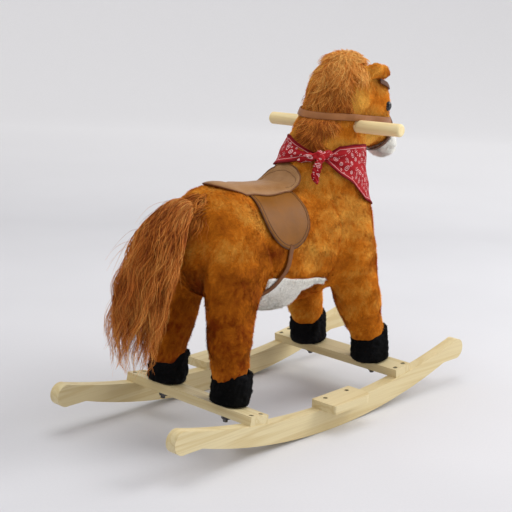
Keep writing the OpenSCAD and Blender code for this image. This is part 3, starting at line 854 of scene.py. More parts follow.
def muzzle_front(p):
    """The muzzle ahead of the face, with a sewn mouth line."""
    x, _, z = p.T
    mouth = groove(z - (LIPS[0][2] - 5), 2.2, 2.6) * (x > LIPS[0][0] - 12)
    return -melt(-(muzzle(p) + mouth), -(MUZZLE_BACK - dot(p - LIPS[0], MUZZLE_WAY)), 5)


def make_muzzle():
    points, quads = skin(muzzle_front, LIPS[0] - [60, 44, 36], LIPS[0] + [34, 44, 66], 2.2, 3.5)
    roots = cover("muzzle_plush", points, quads, WHITE, "muzzle", 45000, 43)
    pile("fur_muzzle", muzzle_front, roots, roots - LIPS[0] + [14, 0, -10], 7.0, WHITE, 44, 1.05)


BOARD_TILT = math.radians(7.72)
BOARD_X = 185.986    # where the upper face of a tilted cross board is at DECK_Z
HOOVES = (("hoof_front_left", 51, 7.0, 2.4), ("hoof_front_right", 52, 8.0, 2.4),
          ("hoof_rear_left", 53, 1.5, 0.4), ("hoof_rear_right", 54, 1.0, 0.4))


def floor_of_board(p):
    """Height of the cross boards' upper faces."""
    return DECK_Z + (np.abs(p[:, 0]) - BOARD_X) * math.tan(BOARD_TILT) + 0.2


def boot_between(low, high, seed, rim_slope, flare):
    """The field of a boot that stands square on its tilted board and is soft at the rim."""
    centre, half = (low + high) / 2, (high - low) / 2
    tilt = math.copysign(BOARD_TILT, -centre[0])
    axis = np.array([math.sin(tilt), 0, math.cos(tilt)])
    wide = half[1]
    tall = half[2] - half[0] * math.sin(BOARD_TILT)
    rim = tall + 5
    bend = 7

    def boot(p):
        q = p - centre
        up = q @ axis
        out = length(q - up[:, None] * axis)
        low_share = np.clip((tall - up) / (2 * tall), 0, 1)
        side = out - wide + 0.6 - flare * low_share ** 2
        end = np.maximum(up - rim - rim_slope * q[:, 0] / wide, -tall - up)
        corner = np.stack([np.maximum(side + bend, 0), np.maximum(end + bend, 0)], 1)
        shape = length(corner) - bend + np.minimum(np.maximum(side, end) + bend, 0)
        lumps = 0.8 * ripple(p, 24, seed) + 0.5 * ripple(p, 10, seed + 5)
        return shape - lumps * np.clip((up + tall) / 12, 0, 1)
    return boot


def make_hooves():
    """Black plush boots on the cross boards."""
    for node, seed, rim_slope, flare in HOOVES:
        low, high = box_mm(node)
        boot = boot_between(low, high, seed, rim_slope, flare)
        points, quads = skin(boot, low - 8, high + [8, 8, 22], 2.4, 4)
        points[:, 2] = np.maximum(points[:, 2], floor_of_board(points))
        roots = cover(node + "_plush", points, quads, BLACK, node, 16000, seed)
        roots = roots[roots[:, 2] > floor_of_board(roots) + 3]
        pile("fur_" + node, boot, roots, [0.1, 0, -1], 4.0, BLACK, seed, 1.15)


EAR_KNOTS = ((158, 41, 90, 13, 10, 13), (175, 47, 96, 15, 9, 11), (193, 50, 93, 13, 8, 10),
             (203, 51, 89, 9, 7, 8.5))
FORWARD = [1, 0, -0.2]


def ear_of(side):
    """The knots of a cupped ear, its field, and the field of the hollow in it."""
    knots = [form(x, side * y, HANDLE_Z + z, *radii) for x, y, z, *radii in EAR_KNOTS]
    thin = [(centre, radii * [0.85, 0.6, 0.5]) for centre, radii in knots]

    def hollow(p):
        return chain(p + [-2, side * 4, -8], thin, 8)

    def ear(p):
        return -melt(-chain(p, knots, 8), hollow(p), 3) - 0.4 * ripple(p, 14, 61)
    return knots, ear, hollow


def make_ears():
    """Ears that fold forward, with pink plush inside."""
    for side, which in SIDES:
        name = "ear_" + which
        knots, ear, hollow = ear_of(side)
        low = np.min([centre - radii for centre, radii in knots], 0) - 6
        high = np.max([centre + radii for centre, radii in knots], 0) + 6
        points, quads = skin(ear, low, high, 1.6, 2.6)
        roots = cover(name + "_plush", points, quads, GOLDEN, name, 12000, 62)
        roots = roots[smooth_body(roots) > -1]
        inner = hollow(roots) < 1.6
        pile("fur_" + name, ear, roots[~inner], FORWARD, 4.5, GOLDEN, 63, 1.15)
        pile("lining_" + name, ear, roots[inner], FORWARD, 2.5, PINK, 64, 1.15)


def sphere(name, centre, radii, material, slot, rings, stands_for=()):
    """A closed ball of quads and two fans, scaled to its radii."""
    lat = np.linspace(0, math.pi, rings + 1)[1:-1]
    lon = np.arange(2 * rings) * math.pi / rings
    a, b = [g.ravel() for g in np.meshgrid(lat, lon, indexing="ij")]
    points = np.stack([np.sin(a) * np.cos(b), np.sin(a) * np.sin(b), np.cos(a)], 1)
    points = np.concatenate([points, [[0, 0, 1], [0, 0, -1]]]) * radii + centre
    quads = grid_faces(rings - 1, 2 * rings, closed_columns=True)[:, ::-1]
    ring = np.arange(2 * rings)
    beside = np.roll(ring, -1)
    top, last = len(points) - 2, (rings - 2) * 2 * rings
    fans = fan(ring, beside, top), fan(last + beside, last + ring, top + 1)
    make_piece(name, points, [quads, *fans], material, slot=slot, stands_for=stands_for)


def make_face():
    """Domed black eyes and small stitched nostrils."""
    for side, which in SIDES:
        start = np.array([[225, side * 90, HANDLE_Z + 31]])
        seat = drop(smooth_body, start, unit(np.array([-0.1, -side, 0])), 0.8)[0]
        nodes = ["eyes"] if which == "left" else []
        sphere("eye_" + which, seat, [7.6, 5.2, 8.6], EYE, "eye_plastic", 24, nodes)
    for side, which in SIDES:
        seat = drop(muzzle_front, LIPS[0] + [[40, side * 8, 7]], np.array([-1.0, 0, 0]), 0.5)[0]
        sphere("nostril_" + which, seat, [2.4, 3.2, 2.0], DARK_THREAD, "brown_plush", 10)


# ---- Tack ----


def tilted_plane(x, z, degrees, aside=0.0):
    """A plane across the horse: a point in it and its normal, which leans from up towards +x."""
    lean = math.radians(degrees)
    return np.array([x, 0, z], float), unit(np.array([math.sin(lean), aside, math.cos(lean)]))


REIN_SAG = 5.5
REIN_WIDTH = 12
NOSEBAND_WIDTH = 11
BAND_REACH = 1.75    # radians that browband and girth go down each side
REIN = tilted_plane(HANDLE[0], HANDLE_Z + 18.3, 7.4, -0.03)
NOSEBAND = tilted_plane(258, HANDLE_Z - 12, 121)
BROWBAND = tilted_plane(205, HANDLE_Z + 74, 18)
GIRTH = tilted_plane(-66, BODY_Z + 12, 117)


def over_rein(p):
    """How far a point lies over the middle of the rein, which sags behind the neck."""
    x, y, _ = (p - REIN[0]).T
    behind = np.maximum(-x, 0) / np.hypot(x, y)
    return dot(p - REIN[0], REIN[1]) + REIN_SAG * behind ** 3


def around_body(field, plane, out, angles, offsets, heights, shift=0.0):
    """Grid of points where rays in a tilted plane meet a form: angles by profile points."""
    origin, normal = plane
    first = unit(out - dot(out, normal) * normal)
    second = np.cross(normal, first)
    way = np.cos(angles)[:, None] * first + np.sin(angles)[:, None] * second
    aside = np.broadcast_to(shift, angles.shape)[:, None] + offsets
    start = origin + FAR_OUT * way[:, None] + aside[..., None] * normal
    ways = np.broadcast_to(-way[:, None], start.shape).reshape(-1, 3)
    lift = np.tile(heights, len(angles))
    return drop(field, start.reshape(-1, 3), ways, lift).reshape(start.shape)


STRAP_END = np.array([[7, 0, 1, 2], [7, 2, 3, 4], [7, 4, 5, 6]])


def strap(name, field, plane, out, angles, width, thick, rise, material, node, closed=False, shift=0.0):
    """A leather strap with eased edges, laid on a form: eight points in each section."""
    half = width / 2
    offsets = np.array([-half, -half + 0.5, -half + 1.4, 0, half - 1.4, half - 0.5, half, 0])
    heights = rise + np.array([0.3, 0.8, 1, 1.05, 1, 0.8, 0.3, 0]) * thick
    grid = around_body(field, plane, out, angles, offsets, heights, shift=shift)
    for _ in range(3):
        blur = grid.copy()
        blur[1:-1] = (grid[:-2] + 2 * grid[1:-1] + grid[2:]) / 4
        grid = blur
    count, ring = grid.shape[:2]
    faces = grid_faces(count, ring, closed_rows=closed, closed_columns=True)[:, ::-1]
    if not closed:
        faces = np.concatenate([faces, STRAP_END[:, ::-1], STRAP_END + (count - 1) * ring])
    make_piece(name, grid.reshape(-1, 3), faces, material, slot="tan_leather", stands_for=[node])


def stitch_row(name, path, gap, run, material):
    """Short raised threads along a path over the pommel."""
    steps = np.concatenate([[0], np.cumsum(length(np.diff(path, axis=0)))])
    at = np.arange(gap / 2, steps[-1], gap)
    mid = np.stack([np.interp(at, steps, row) for row in path.T], 1)
    ahead = unit(np.stack([np.interp(at + 0.5, steps, row) for row in path.T], 1) - mid + 1e-6)
    rise = np.array([-0.6, 0.0, 0.8])
    side = unit(np.cross(ahead, rise))
    corners = np.stack([mid - ahead * run / 2, mid + side / 2, mid + ahead * run / 2,
                        mid - side / 2, mid + rise * 0.6, mid - rise * 0.4], 1)
    thread = np.array([[0, 1, 4], [1, 2, 4], [2, 3, 4], [3, 0, 4],
                       [1, 0, 5], [2, 1, 5], [3, 2, 5], [0, 3, 5]])
    faces = (thread + 6 * np.arange(len(mid))[:, None, None]).reshape(-1, 3)
    make_piece(name, corners.reshape(-1, 3), faces, material, slot="tan_leather")


PANEL_THICK = 2.6


def panel(name, outline, centre, place, edge, material, node):
    """A closed leather panel over a rounded outline; place turns plan points and heights into space."""
    upper = np.array([0.15, 0.35, 0.55, 0.72, 0.85, 0.93, 0.97, 1])
    under = np.array([1, 0.93, 0.72, 0.35])
    count = len(outline)
    plan = centre + np.concatenate([upper, under])[:, None, None] * (outline - centre)
    inward = np.clip((1 - upper[:, None]) * length(outline - centre) / edge, 0, 1)
    lift = PANEL_THICK * (0.35 + 0.65 * np.sqrt(1 - (1 - inward) ** 2))
    plan = np.concatenate([plan.reshape(-1, 2), [centre, centre]])
    lift = np.concatenate([lift.ravel(), np.zeros(len(under) * count), [PANEL_THICK, 0]])
    rows = len(upper) + len(under)
    quads = grid_faces(rows, count, closed_columns=True)
    ring = np.arange(count)
    beside, last = np.roll(ring, -1), (rows - 1) * count
    fans = fan(beside, ring, rows * count), fan(last + ring, last + beside, rows * count + 1)
    points = place(plan, lift)
    return make_piece(name, points, [quads, *fans], material, slot="tan_leather", stands_for=[node])


def closed_curve(knots, count):
    """Smooth closed curve through a few knots."""
    knots = np.asarray(knots, float)
    at = np.arange(count) * len(knots) / count
    i = at.astype(int)
    a, b, c, d = (knots[(i + k) % len(knots)] for k in (-1, 0, 1, 2))
    return smooth(a, b, c, d, (at % 1)[:, None])


def tube(name, path, radius, material):
    """A closed loop of round welt."""
    ahead = unit(np.roll(path, -1, 0) - np.roll(path, 1, 0))
    hint = unit(path - path.mean(0))
    up = unit(hint - dot(hint, ahead)[:, None] * ahead)
    side = np.cross(ahead, up)
    turn = np.arange(8) * 2 * math.pi / 8
    ring = up[:, None] * np.cos(turn)[:, None] + side[:, None] * np.sin(turn)[:, None]
    points = (path[:, None] + ring * radius).reshape(-1, 3)
    make_piece(name, points, grid_faces(len(path), 8, True, True)[:, ::-1], material, slot="tan_leather")


SHOULDER_Z = BODY_Z + 60    # over this height the flaps bend inward
BEND_RADIUS = 65
FLAP_RISE = 2.0
SEAT_RISE = 1.6
SEAT_HALF = [(-166, 0), (-164, -13), (-156, -28), (-140, -36), (-115, -37), (-90, -38), (-66, -39),
             (-46, -40), (-28, -40), (-13, -41), (-2, -41), (7, -38), (12, -32), (15, -21), (17, -10),
             (18, 0)]
SEAT_OUTLINE = closed_curve(SEAT_HALF + [(x, -y) for x, y in SEAT_HALF[-2:0:-1]], 300)
SEAT_MIDDLE = np.array([-72.0, 0.0])
POMMEL_MIDDLE = np.array([-22.0, 0.0])
TONGUE_CURVE = ((-46, 97), (-29, 100), (-13, 105.5), (-2, 111), (6, 118), (11, 124.5), (15, 131.5),
                (18, 137), (24, 146))
FLAP_OUTLINE = [0, BODY_Z] + closed_curve(
    [(-5, 79), (-5, 66), (-9, 51), (-19, 38), (-32, 27), (-48, 20), (-66, 20), (-86, 29), (-101, 43),
     (-111, 61), (-114, 80), (-112, 102), (-112, 122), (-104, 143), (-70, 148), (-32, 142), (-14, 114),
     (-9, 97)], 270)
FLAP_MIDDLE = np.array([-62, BODY_Z + 84])


def on_side(side):
    """Places plan points, x and height, on one flank; above its shoulder they bend over the back."""
    def place(plan, lift):
        bend = np.maximum(plan[:, 1] - SHOULDER_Z, 0) / BEND_RADIUS
        way = np.stack([0 * bend, -side * np.cos(bend), -np.sin(bend)], 1)
        start = np.stack([plan[:, 0], 0 * bend, np.minimum(plan[:, 1], SHOULDER_Z)], 1) - way * FAR_OUT
        return drop(smooth_body, start, way, FLAP_RISE + lift)
    return place


def on_back(plan, lift):
    """Places plan points, x and y, on a pad over the back, and on a tongue turned up in front."""
    x, y = plan.T
    start = np.stack([x, y, np.full(len(plan), BODY_Z + 260)], 1)
    down = np.array([0.0, 0.0, -1.0])
    over_flap = np.clip((x + 125) / 20, 0, 1) * np.clip((np.abs(y) - 8) / 16, 0, 1)
    points = drop(smooth_body, start, down, SEAT_RISE + 3.4 * over_flap)
    crest = drop(trunk, start * [1, 0, 1], down, SEAT_RISE + 2.6)[:, 2]
    tongue = BODY_Z + np.interp(x, *np.array(TONGUE_CURVE, float).T)
    on_tongue = np.clip((x + 45) / 30, 0, 1)
    tongue = tongue * on_tongue + (points[:, 2] - 6) * (1 - on_tongue)
    top = -melt(-points[:, 2], -tongue, 2.5)
    top = np.where(x > 4, np.minimum(top, tongue + 2.5), top)
    pad = np.clip(BODY_Z + 110 - 0.1 * x - crest, 0, 8) * np.clip((-18 - x) / 10, 0, 1)
    pad = pad * np.clip(1 - (y / 38) ** 2, 0, 1) ** 0.8
    lean = np.clip((x + 25) / 45, 0, 0.7)
    points[:, 2] = top + (lift + pad * (lift > 1.2)) * np.cos(lean)
    points[:, 0] -= lift * np.sin(lean)
    return points


def inset(outline, middle, margin, place, lift):
    """The outline drawn in towards a middle point and placed at a height."""
    plan = middle + (outline - middle) * (1 - margin / length(outline - middle))[:, None]
    return place(plan, np.full(len(outline), lift))


def make_saddle():
    """A padded seat with a welt and stitches, and two flaps."""
    seat = panel("saddle_seat_leather", SEAT_OUTLINE, SEAT_MIDDLE, on_back, 4, LEATHER, "saddle_seat")
    tube("seat_welt", inset(SEAT_OUTLINE, SEAT_MIDDLE, 0, on_back, 0.9), 1.3, GIRTH_LEATHER)
    ends = SEAT_OUTLINE[SEAT_OUTLINE[:, 0] > -26]
    stitches = inset(ends, POMMEL_MIDDLE, 4.2, on_back, 2.7)
    stitch_row("pommel_stitches", stitches, 3.6, 2.4, THREAD)
    stitch_row("pommel_seam", inset(ends, POMMEL_MIDDLE, 7.0, on_back, 2.7), 1.6, 1.9, DARK_LEATHER)
    for side, which in SIDES:
        place = on_side(side)
        turned = FLAP_OUTLINE[::-side]
        node = "saddle_flap_" + which
        panel(node + "_leather", turned, FLAP_MIDDLE, place, 3, FLAP_LEATHER, node)
        tube("flap_welt_" + which, inset(FLAP_OUTLINE, FLAP_MIDDLE, 0, place, 0.9), 1.2, DARK_LEATHER)
        tube("flap_seam_" + which, inset(FLAP_OUTLINE, FLAP_MIDDLE, 6.0, place, 2.6), 0.6, DARK_LEATHER)


def face(p):
    return np.minimum(head_alone(p), muzzle(p))


def make_straps():
    """Rein, noseband, browband and girth."""
    rear, up, ahead = np.array([-1.0, 0, 0]), np.array([0, 0, 1.0]), np.array([1.0, 0, 0])
    angles = np.linspace(0, math.pi, 160)
    centre = around_body(neck_and_head, REIN, rear, angles, np.zeros(1), np.full(1, 3.0))[:, 0]
    past_noseband = dot(centre - NOSEBAND[0], NOSEBAND[1]) > -NOSEBAND_WIDTH / 2 - 1
    reach = angles[np.argmax(past_noseband)]
    angles = np.linspace(-reach, reach, 260)
    sag = -REIN_SAG * np.maximum(np.cos(angles), 0) ** 3
    strap("rein_leather", neck_and_head, REIN, rear, angles, REIN_WIDTH, 1.8, 1.6, STRAP_LEATHER,
          "rein", shift=sag)
    angles = np.linspace(0, 2 * math.pi, 120, endpoint=False)
    strap("noseband_leather", face, NOSEBAND, up, angles, NOSEBAND_WIDTH, 2.0, 2.4, DARK_LEATHER,
          "noseband", closed=True)
    angles = np.linspace(-BAND_REACH, BAND_REACH, 90)
    strap("browband_leather", neck_and_head, BROWBAND, ahead, angles, 10, 2.0, 2.4, DARK_LEATHER,
          "browband")
    angles = np.linspace(-BAND_REACH, BAND_REACH, 150)
    turn = np.abs(angles)
    bow = 7 * np.exp(-((turn - 1.32) / 0.24) ** 2) - 24 * np.exp(-((turn - 0.55) / 0.3) ** 2)
    strap("girth_leather", trunk, GIRTH, -up, angles, 11, 2.0, 3.4, GIRTH_LEATHER, "girth_strap",
          shift=bow)


DRAWN_BODY_Z = 285.54    # the BODY_Z that the rims and the knot of the bandana are drawn for
CLOTH_TOP = ((-180, 434), (-150, 444), (-90, 455), (-40, 466), (-11, 470), (8, 458), (21, 449), (29, 445),
             (33, 444), (38, 446), (54, 457), (90, 457), (120, 454), (135, 451), (155, 440), (180, 434))
CLOTH_LOW = ((-180, 338), (-130, 352), (-90, 378), (-50, 404), (-9, 424), (11, 433), (26, 437), (31, 437),
             (36, 431), (41, 423), (51, 408), (67, 393), (87, 371), (100, 357), (140, 340), (180, 338))
GATHER_TURN, GATHER_Z = math.radians(31), BODY_Z + 155    # where the folds meet, at the knot
CLOTH_RISE = 4.0
CLOTH_THICK = 0.9
HEM_RISE, HEM_WIDTH = 0.7, 4


def cloth_rims(turn):
    """Upper and lower edge of the bandana for each turn about the neck, 0 at the back, + to the right."""
    degrees = np.degrees(np.mod(turn + math.pi, 2 * math.pi) - math.pi)
    shift = BODY_Z - DRAWN_BODY_Z
    return [np.interp(degrees, *np.array(rim, float).T) + shift for rim in (CLOTH_TOP, CLOTH_LOW)]


def neck_axis_x(z):
    return np.interp(z, [BODY_Z + 40, HANDLE_Z], [150, 118])


def rims_beside(p):
    """Both edges of the bandana at the turn of each point about the neck's axis."""
    return cloth_rims(np.arctan2(-p[:, 1], neck_axis_x(p[:, 2]) - p[:, 0]))


def neck_base(p):
    """What the bandana lies on: ahead of the throat, the neck without the jaw."""
    neck = melt(trunk(p), link(p, WITHERS, THROAT), 24)
    return np.where(p[:, 0] > 158, melt(neck, legs(p), 14), smooth_body(p))


def make_bandana():
    """A folded square round the neck: deep over the chest, gathered in a knot behind on the right."""
    turns = GATHER_TURN + np.arange(300) * 2 * math.pi / 300
    rows = np.linspace(0, 1, 40)
    top, low = cloth_rims(turns)
    z = top + rows[:, None] * (low - top)
    turn = np.broadcast_to(turns, z.shape)
    from_gather = np.mod(turn - GATHER_TURN + math.pi, 2 * math.pi) - math.pi
    along, below = from_gather * 70, z - GATHER_Z
    reach = np.hypot(along, below)
    ray = np.arctan2(below, np.abs(along) + 4)
    folds = 2.6 * np.sin(15 * ray + 0.02 * reach) * np.exp(-reach / 75) * (1 - np.exp(-reach / 8))
    axis = np.stack([neck_axis_x(z), 0 * z, z], -1).reshape(-1, 3)
    way = np.stack([np.cos(turn), np.sin(turn), 0 * turn], -1).reshape(-1, 3)
    folds = folds.ravel() + 0.9 * ripple(axis - way * 70, 44, 71)
    hem = (np.minimum(rows, 1 - rows)[:, None] * (top - low)).ravel()
    outer = drop(neck_base, axis - way * FAR_OUT, way, CLOTH_RISE + folds + HEM_RISE * (hem < HEM_WIDTH))
    inner = outer - unit(slope(neck_base, outer)) * CLOTH_THICK
    sheet = grid_faces(len(rows), len(turns), closed_columns=True)
    ring = np.arange(len(turns))
    beside, under, last = np.roll(ring, -1), len(outer), len(outer) - len(turns)
    rim = np.stack([beside + under, ring + under, ring, beside], 1)
    faces = np.concatenate([sheet[:, ::-1], sheet + under, rim, rim[:, [1, 0, 3, 2]] + last])
    piece = make_piece("bandana_cloth", np.concatenate([outer, inner]), faces, CLOTH, slot="red_cotton",
                       stands_for=["bandana"])
    print_place = np.stack([along.ravel() * 1.25, below.ravel(), hem], 1) / 1000
    set_vectors(piece, "print", np.tile(print_place, (2, 1)))
    knot = make_knot()


KNOT_ROLL = [form(24, -20, 434, 6, 5, 5), form(34, -34, 439, 8, 6, 6), form(46, -46, 441, 8, 6, 7),
             form(60, -54, 445, 7, 4, 6)]
KNOT_WRAP = [form(42, -47, 447, 6, 5, 5), form(44, -50, 437, 6, 6, 6)]
KNOT_END = [form(40, -50, 436, 6, 4, 6), form(32, -52, 424, 9, 3, 8), form(25, -54, 410, 8, 2.5, 8),
            form(27, -58, 401, 3, 2, 3)]


def knot_form(p):
    q = p - [0, 0, BODY_Z - DRAWN_BODY_Z]
    around = np.arctan2(q[:, 2] - 441, q[:, 1] + q[:, 0] * 0.75 + 10)
    creases = 1.2 * np.sin(5 * around + 0.45 * q[:, 0])
    fold = 0.9 * np.sin(0.9 * (q[:, 0] + 0.5 * q[:, 2]))
    knot = np.minimum(chain(q, KNOT_ROLL, 4) - creases, chain(q, KNOT_WRAP, 4))
    return np.minimum(knot, chain(q, KNOT_END, 4) - fold)


def make_knot():
    """The knot: a twisted roll with two short ends, one of which hangs."""
    points, quads = skin(knot_form, [10, -74, BODY_Z + 106], [76, -18, BODY_Z + 172], 1.4, 2.2)
    piece = make_piece("bandana_knot_cloth", points, quads, CLOTH, slot="red_cotton",
                       stands_for=["bandana_knot"])
    x, _, z = points.T
    set_vectors(piece, "print", np.stack([x + z * 0.3, z, np.full(len(z), 20.0)], 1) / 1000)
    return piece


def inside(outline, u, v):
    """Which points lie within a closed outline in a plane."""
    within = np.zeros(len(u), bool)
    for (u1, v1), (u2, v2) in zip(outline, np.roll(outline, -1, 0)):
        crosses = (v1 > v) != (v2 > v)
        within ^= crosses & (u < (u2 - u1) * (v - v1) / (v2 - v1 + 1e-12) + u1)
    return within


def under_tack(p):
    """Where leather or the bandana presses the fur flat."""
    x, y, z = p.T
    bend = np.arctan2(z - SHOULDER_Z, np.abs(y))
    plan_z = np.where(z > SHOULDER_Z, SHOULDER_Z + BEND_RADIUS * bend, z)
    flap = inside(FLAP_OUTLINE[::6] * 0.94 + 0.06 * FLAP_OUTLINE.mean(0), x, plan_z)
    seat = inside(SEAT_OUTLINE[::6] * 0.92 + 0.08 * SEAT_OUTLINE.mean(0), x, y)
    seat &= (x < -12) & (z > BODY_Z + 60)
    rein = (np.abs(over_rein(p)) < REIN_WIDTH / 2 - 1) & (z > BODY_Z + 110)
    top, low = rims_beside(p)
    cloth = (z < top - 5) & (z > low + 5)
    return flap | seat | rein | cloth


# ---- Long hair ----


TAIL_LINE = TAIL_ROOT + np.array([[16, 0, 0], [-14, 0, -6], [-46, 0, -46], [-70, 0, -98], [-88, 0, -158],
                                  [-99, 0, -214], [-104, 0, -262]])
LOCKS = 130    # in each layer of the tail


def tail_spread(t):
    """Half the width of the tail along its line."""
    return np.interp(t, np.linspace(0, 1, 7), [7, 22, 35, 41, 42, 38, 26])


def tail_place(t, rho, turn):
    """A point in the tail: along it, how far out, and round it. It is flatter towards the rump."""
    here = curve_through(TAIL_LINE, t)
    ahead = unit(curve_through(TAIL_LINE, t + 0.02) - here)
    side = np.array([0.0, 1.0, 0.0])
    up = np.cross(ahead, side)
    deep = np.cos(turn) * np.where(np.cos(turn) > 0, 0.62, 1.0)
    outward = up * deep[..., None] + side * np.sin(turn)[..., None]
    return here + (tail_spread(t) * rho)[..., None] * outward


def tail_strands(name, count, seed, width, out_range):
    """Hair in wavy locks: each lock wanders, and its strands draw together towards its end."""
    rng = np.random.default_rng(seed)
    lock = rng.integers(0, LOCKS, count)
    lock_turn, lock_rho = rng.uniform(0, 2 * math.pi, LOCKS), np.sqrt(rng.uniform(*out_range, LOCKS))
    phase, pitch = rng.uniform(0, 2 * math.pi, (2, LOCKS)), rng.uniform(0.16, 0.34, (2, LOCKS))
    lean = rng.normal(0, 1, (2, LOCKS))
    lock_end = rng.uniform(0.58, 0.76, LOCKS)
    lock_end[rng.random(LOCKS) < 0.2] += 0.16
    share = np.linspace(0, 1, 20)[None]
    start = rng.uniform(0, 0.34, (count, 1)) ** 1.3
    end = lock_end[lock][:, None] * rng.uniform(0.8, 1.08, (count, 1))
    t = start + share * (end - start)
    loose = 1 - 0.9 * share ** 0.8
    turn = lock_turn[lock][:, None] + loose * rng.normal(0, 0.4, (count, 1))
    rho = np.clip(lock_rho[lock][:, None] + loose * rng.normal(0, 0.2, (count, 1)), 0.05, 1.1)
    paths = tail_place(t, rho, turn)
    swell = np.clip(share * 2.0, 0, 1)
    for axis, size in ((1, 6.5), (0, 4.5)):
        wave = 2 * math.pi * t / pitch[axis][lock][:, None] + phase[axis][lock][:, None]
        paths[:, :, axis] += size * swell * np.sin(wave + rng.normal(0, 0.3, (count, 1)))
        paths[:, :, axis] += 6 * lean[axis][lock][:, None] * share ** 2
    curl = 2 * math.pi * t / 0.11 + rng.uniform(0, 6.3, (count, 1))
    paths[:, :, 1] += 0.8 * swell * np.sin(curl)
    paths[:, :, 2] += 0.8 * swell * np.cos(curl)
    widths = tapered(width * rng.uniform(0.6, 1.3, (count, 1)), share, 0.85)
    strands(name, paths, widths, LONG_HAIR, seed, "tail")


def tail_core(p):
    """A dark wavy body that fills the tail, its colour painted shade for the hair deep inside."""
    t = np.array([0.05, 0.2, 0.35, 0.48, 0.55])
    centres = curve_through(TAIL_LINE, t) - [4, 0, 0]
    radii = tail_spread(t)[:, None] * [0.5, 0.66, 0.6]
    return chain(p, list(zip(centres, radii)), 10) - 1.5 * ripple(p * [1, 1, 0.25], 10, 81)


def make_tail():
    points, quads = skin(tail_core, TAIL_ROOT + [-150, -50, -250], TAIL_ROOT + [30, 50, 30], 3, 5)
    # the core's dark colour is painted shade inside the tail
    make_piece("tail_core", points, quads, TAIL_SHADE_CORE, "long_hair", "tail", ["tail"])
    part = 1.0
    tail_strands("tail_hair_inner", int(2900 * part), 82, 1.2, (0.12, 0.6))
    tail_strands("tail_hair_outer", int(4800 * part), 83, 0.85, (0.5, 1.0))
    fly_away_hair()
    root_hair()


def fly_away_hair():
    """A few loose hairs that stand off the top of the tail and curl over."""
    rng = np.random.default_rng(84)
    count, share = 190, np.linspace(0, 1, 14)
    start = tail_place(rng.uniform(0.02, 0.4, count), np.full(count, 0.9), rng.normal(math.pi, 0.9, count))
    out = np.stack([rng.uniform(-1.0, -0.4, count), rng.normal(0, 0.5, count),
                    rng.uniform(-0.1, 0.8, count)], 1)
    reach = rng.uniform(18, 60, (count, 1, 1))
    bend = share[:, None] ** 2 * [-0.1, 0, -1.25]
    paths = start[:, None] + reach * (share[:, None] * out[:, None] + bend)
    curl = rng.uniform(0, 6.3, (count, 1))
    paths[:, :, 1] += 3 * share * np.sin(5 * share + curl)
    widths = np.tile(0.55 * (1.1 - 0.8 * share), (count, 1))
    strands("tail_fly_away_hair", paths, widths, LONG_HAIR, 84, "tail")


def root_hair():
    """Long pile on the rump round the root of the tail, combed down into it."""
    rng = np.random.default_rng(85)
    points, quads = skin(smooth_body, TAIL_ROOT - [40, 60, 90], TAIL_ROOT + [75, 60, 50], 5)
    roots = scatter(points, quads, 9000, rng)
    span = length((roots - TAIL_ROOT - [14, 0, -6]) * [1, 0.95, 0.8])
    roots = roots[span < 34 * rng.uniform(0.4, 1.0, len(roots))][:700]
    widths = rng.uniform(0.7, 1.3, (len(roots), 1))
    combed_hair("tail_root_hair", roots, smooth_body, 86, 38, [-1.0, 0, -0.6], widths, 9, (3.0, 12.0))


FORELOCK = np.array([166, -4, HANDLE_Z + 114])


def mane_base(p):
    """The neck and head, a little thicker, on which the mane grows."""
    return neck_and_head(p) - 1


def make_mane():
    """Long pile sewn along the crest and combed down the back of the neck, a little to the right."""
    points, quads = skin(mane_base, [-20, -80, HANDLE_Z - 70], [200, 40, HANDLE_Z + 136], 5)
    roots = scatter(points, quads, 70000, np.random.default_rng(91))
    x, y, z = (roots - [0, 0, HANDLE_Z]).T
    right = np.interp(z, [-44, 0, 20, 60, 90, 130], [-36, -30, -33, -44, -42, -36])
    left = np.interp(z, [-44, -14, 16, 60, 96, 130], [-30, -14, -10, -4, -2, -4])
    front = np.interp(z, [-44, 60, 100, 130], [90, 120, 150, 172])
    ragged_y = y + 3 * ripple(roots, 14, 90)
    patch = (x < front) & (ragged_y > right) & (ragged_y < left) & (z > -38) & (neck_and_head(roots) > 0.2)
    roots = roots[patch]
    above = dot(roots - REIN[0], REIN[1]) > 0
    for node, part, seed, reach in (("mane_upper", above, 92, 40), ("mane_lower", ~above, 93, 34)):
        some = roots[part][:3200]
        aside = -0.25 + 0.7 * np.clip((some[:, 1] + 17) / 9, 0, 1)
        fall = np.stack([np.full(len(some), -0.3), aside, np.full(len(some), -1.0)], 1)
        widths = np.random.default_rng(seed).uniform(0.7, 1.3, (len(some), 1))
        combed_hair(node + "_hair", some, neck_and_head, seed, reach, fall, widths, stands_for=[node])
    roots = scatter(points, quads, 30000, np.random.default_rng(95))
    roots = roots[length((roots - FORELOCK) * [1, 0.9, 0.6]) < 24][:500]
    widths = np.ones((len(roots), 1))
    combed_hair("forelock_hair", roots, neck_and_head, 94, 40, [-0.8, -0.5, 0.2], widths, top=(4, 11),
                stands_for=["forelock"])


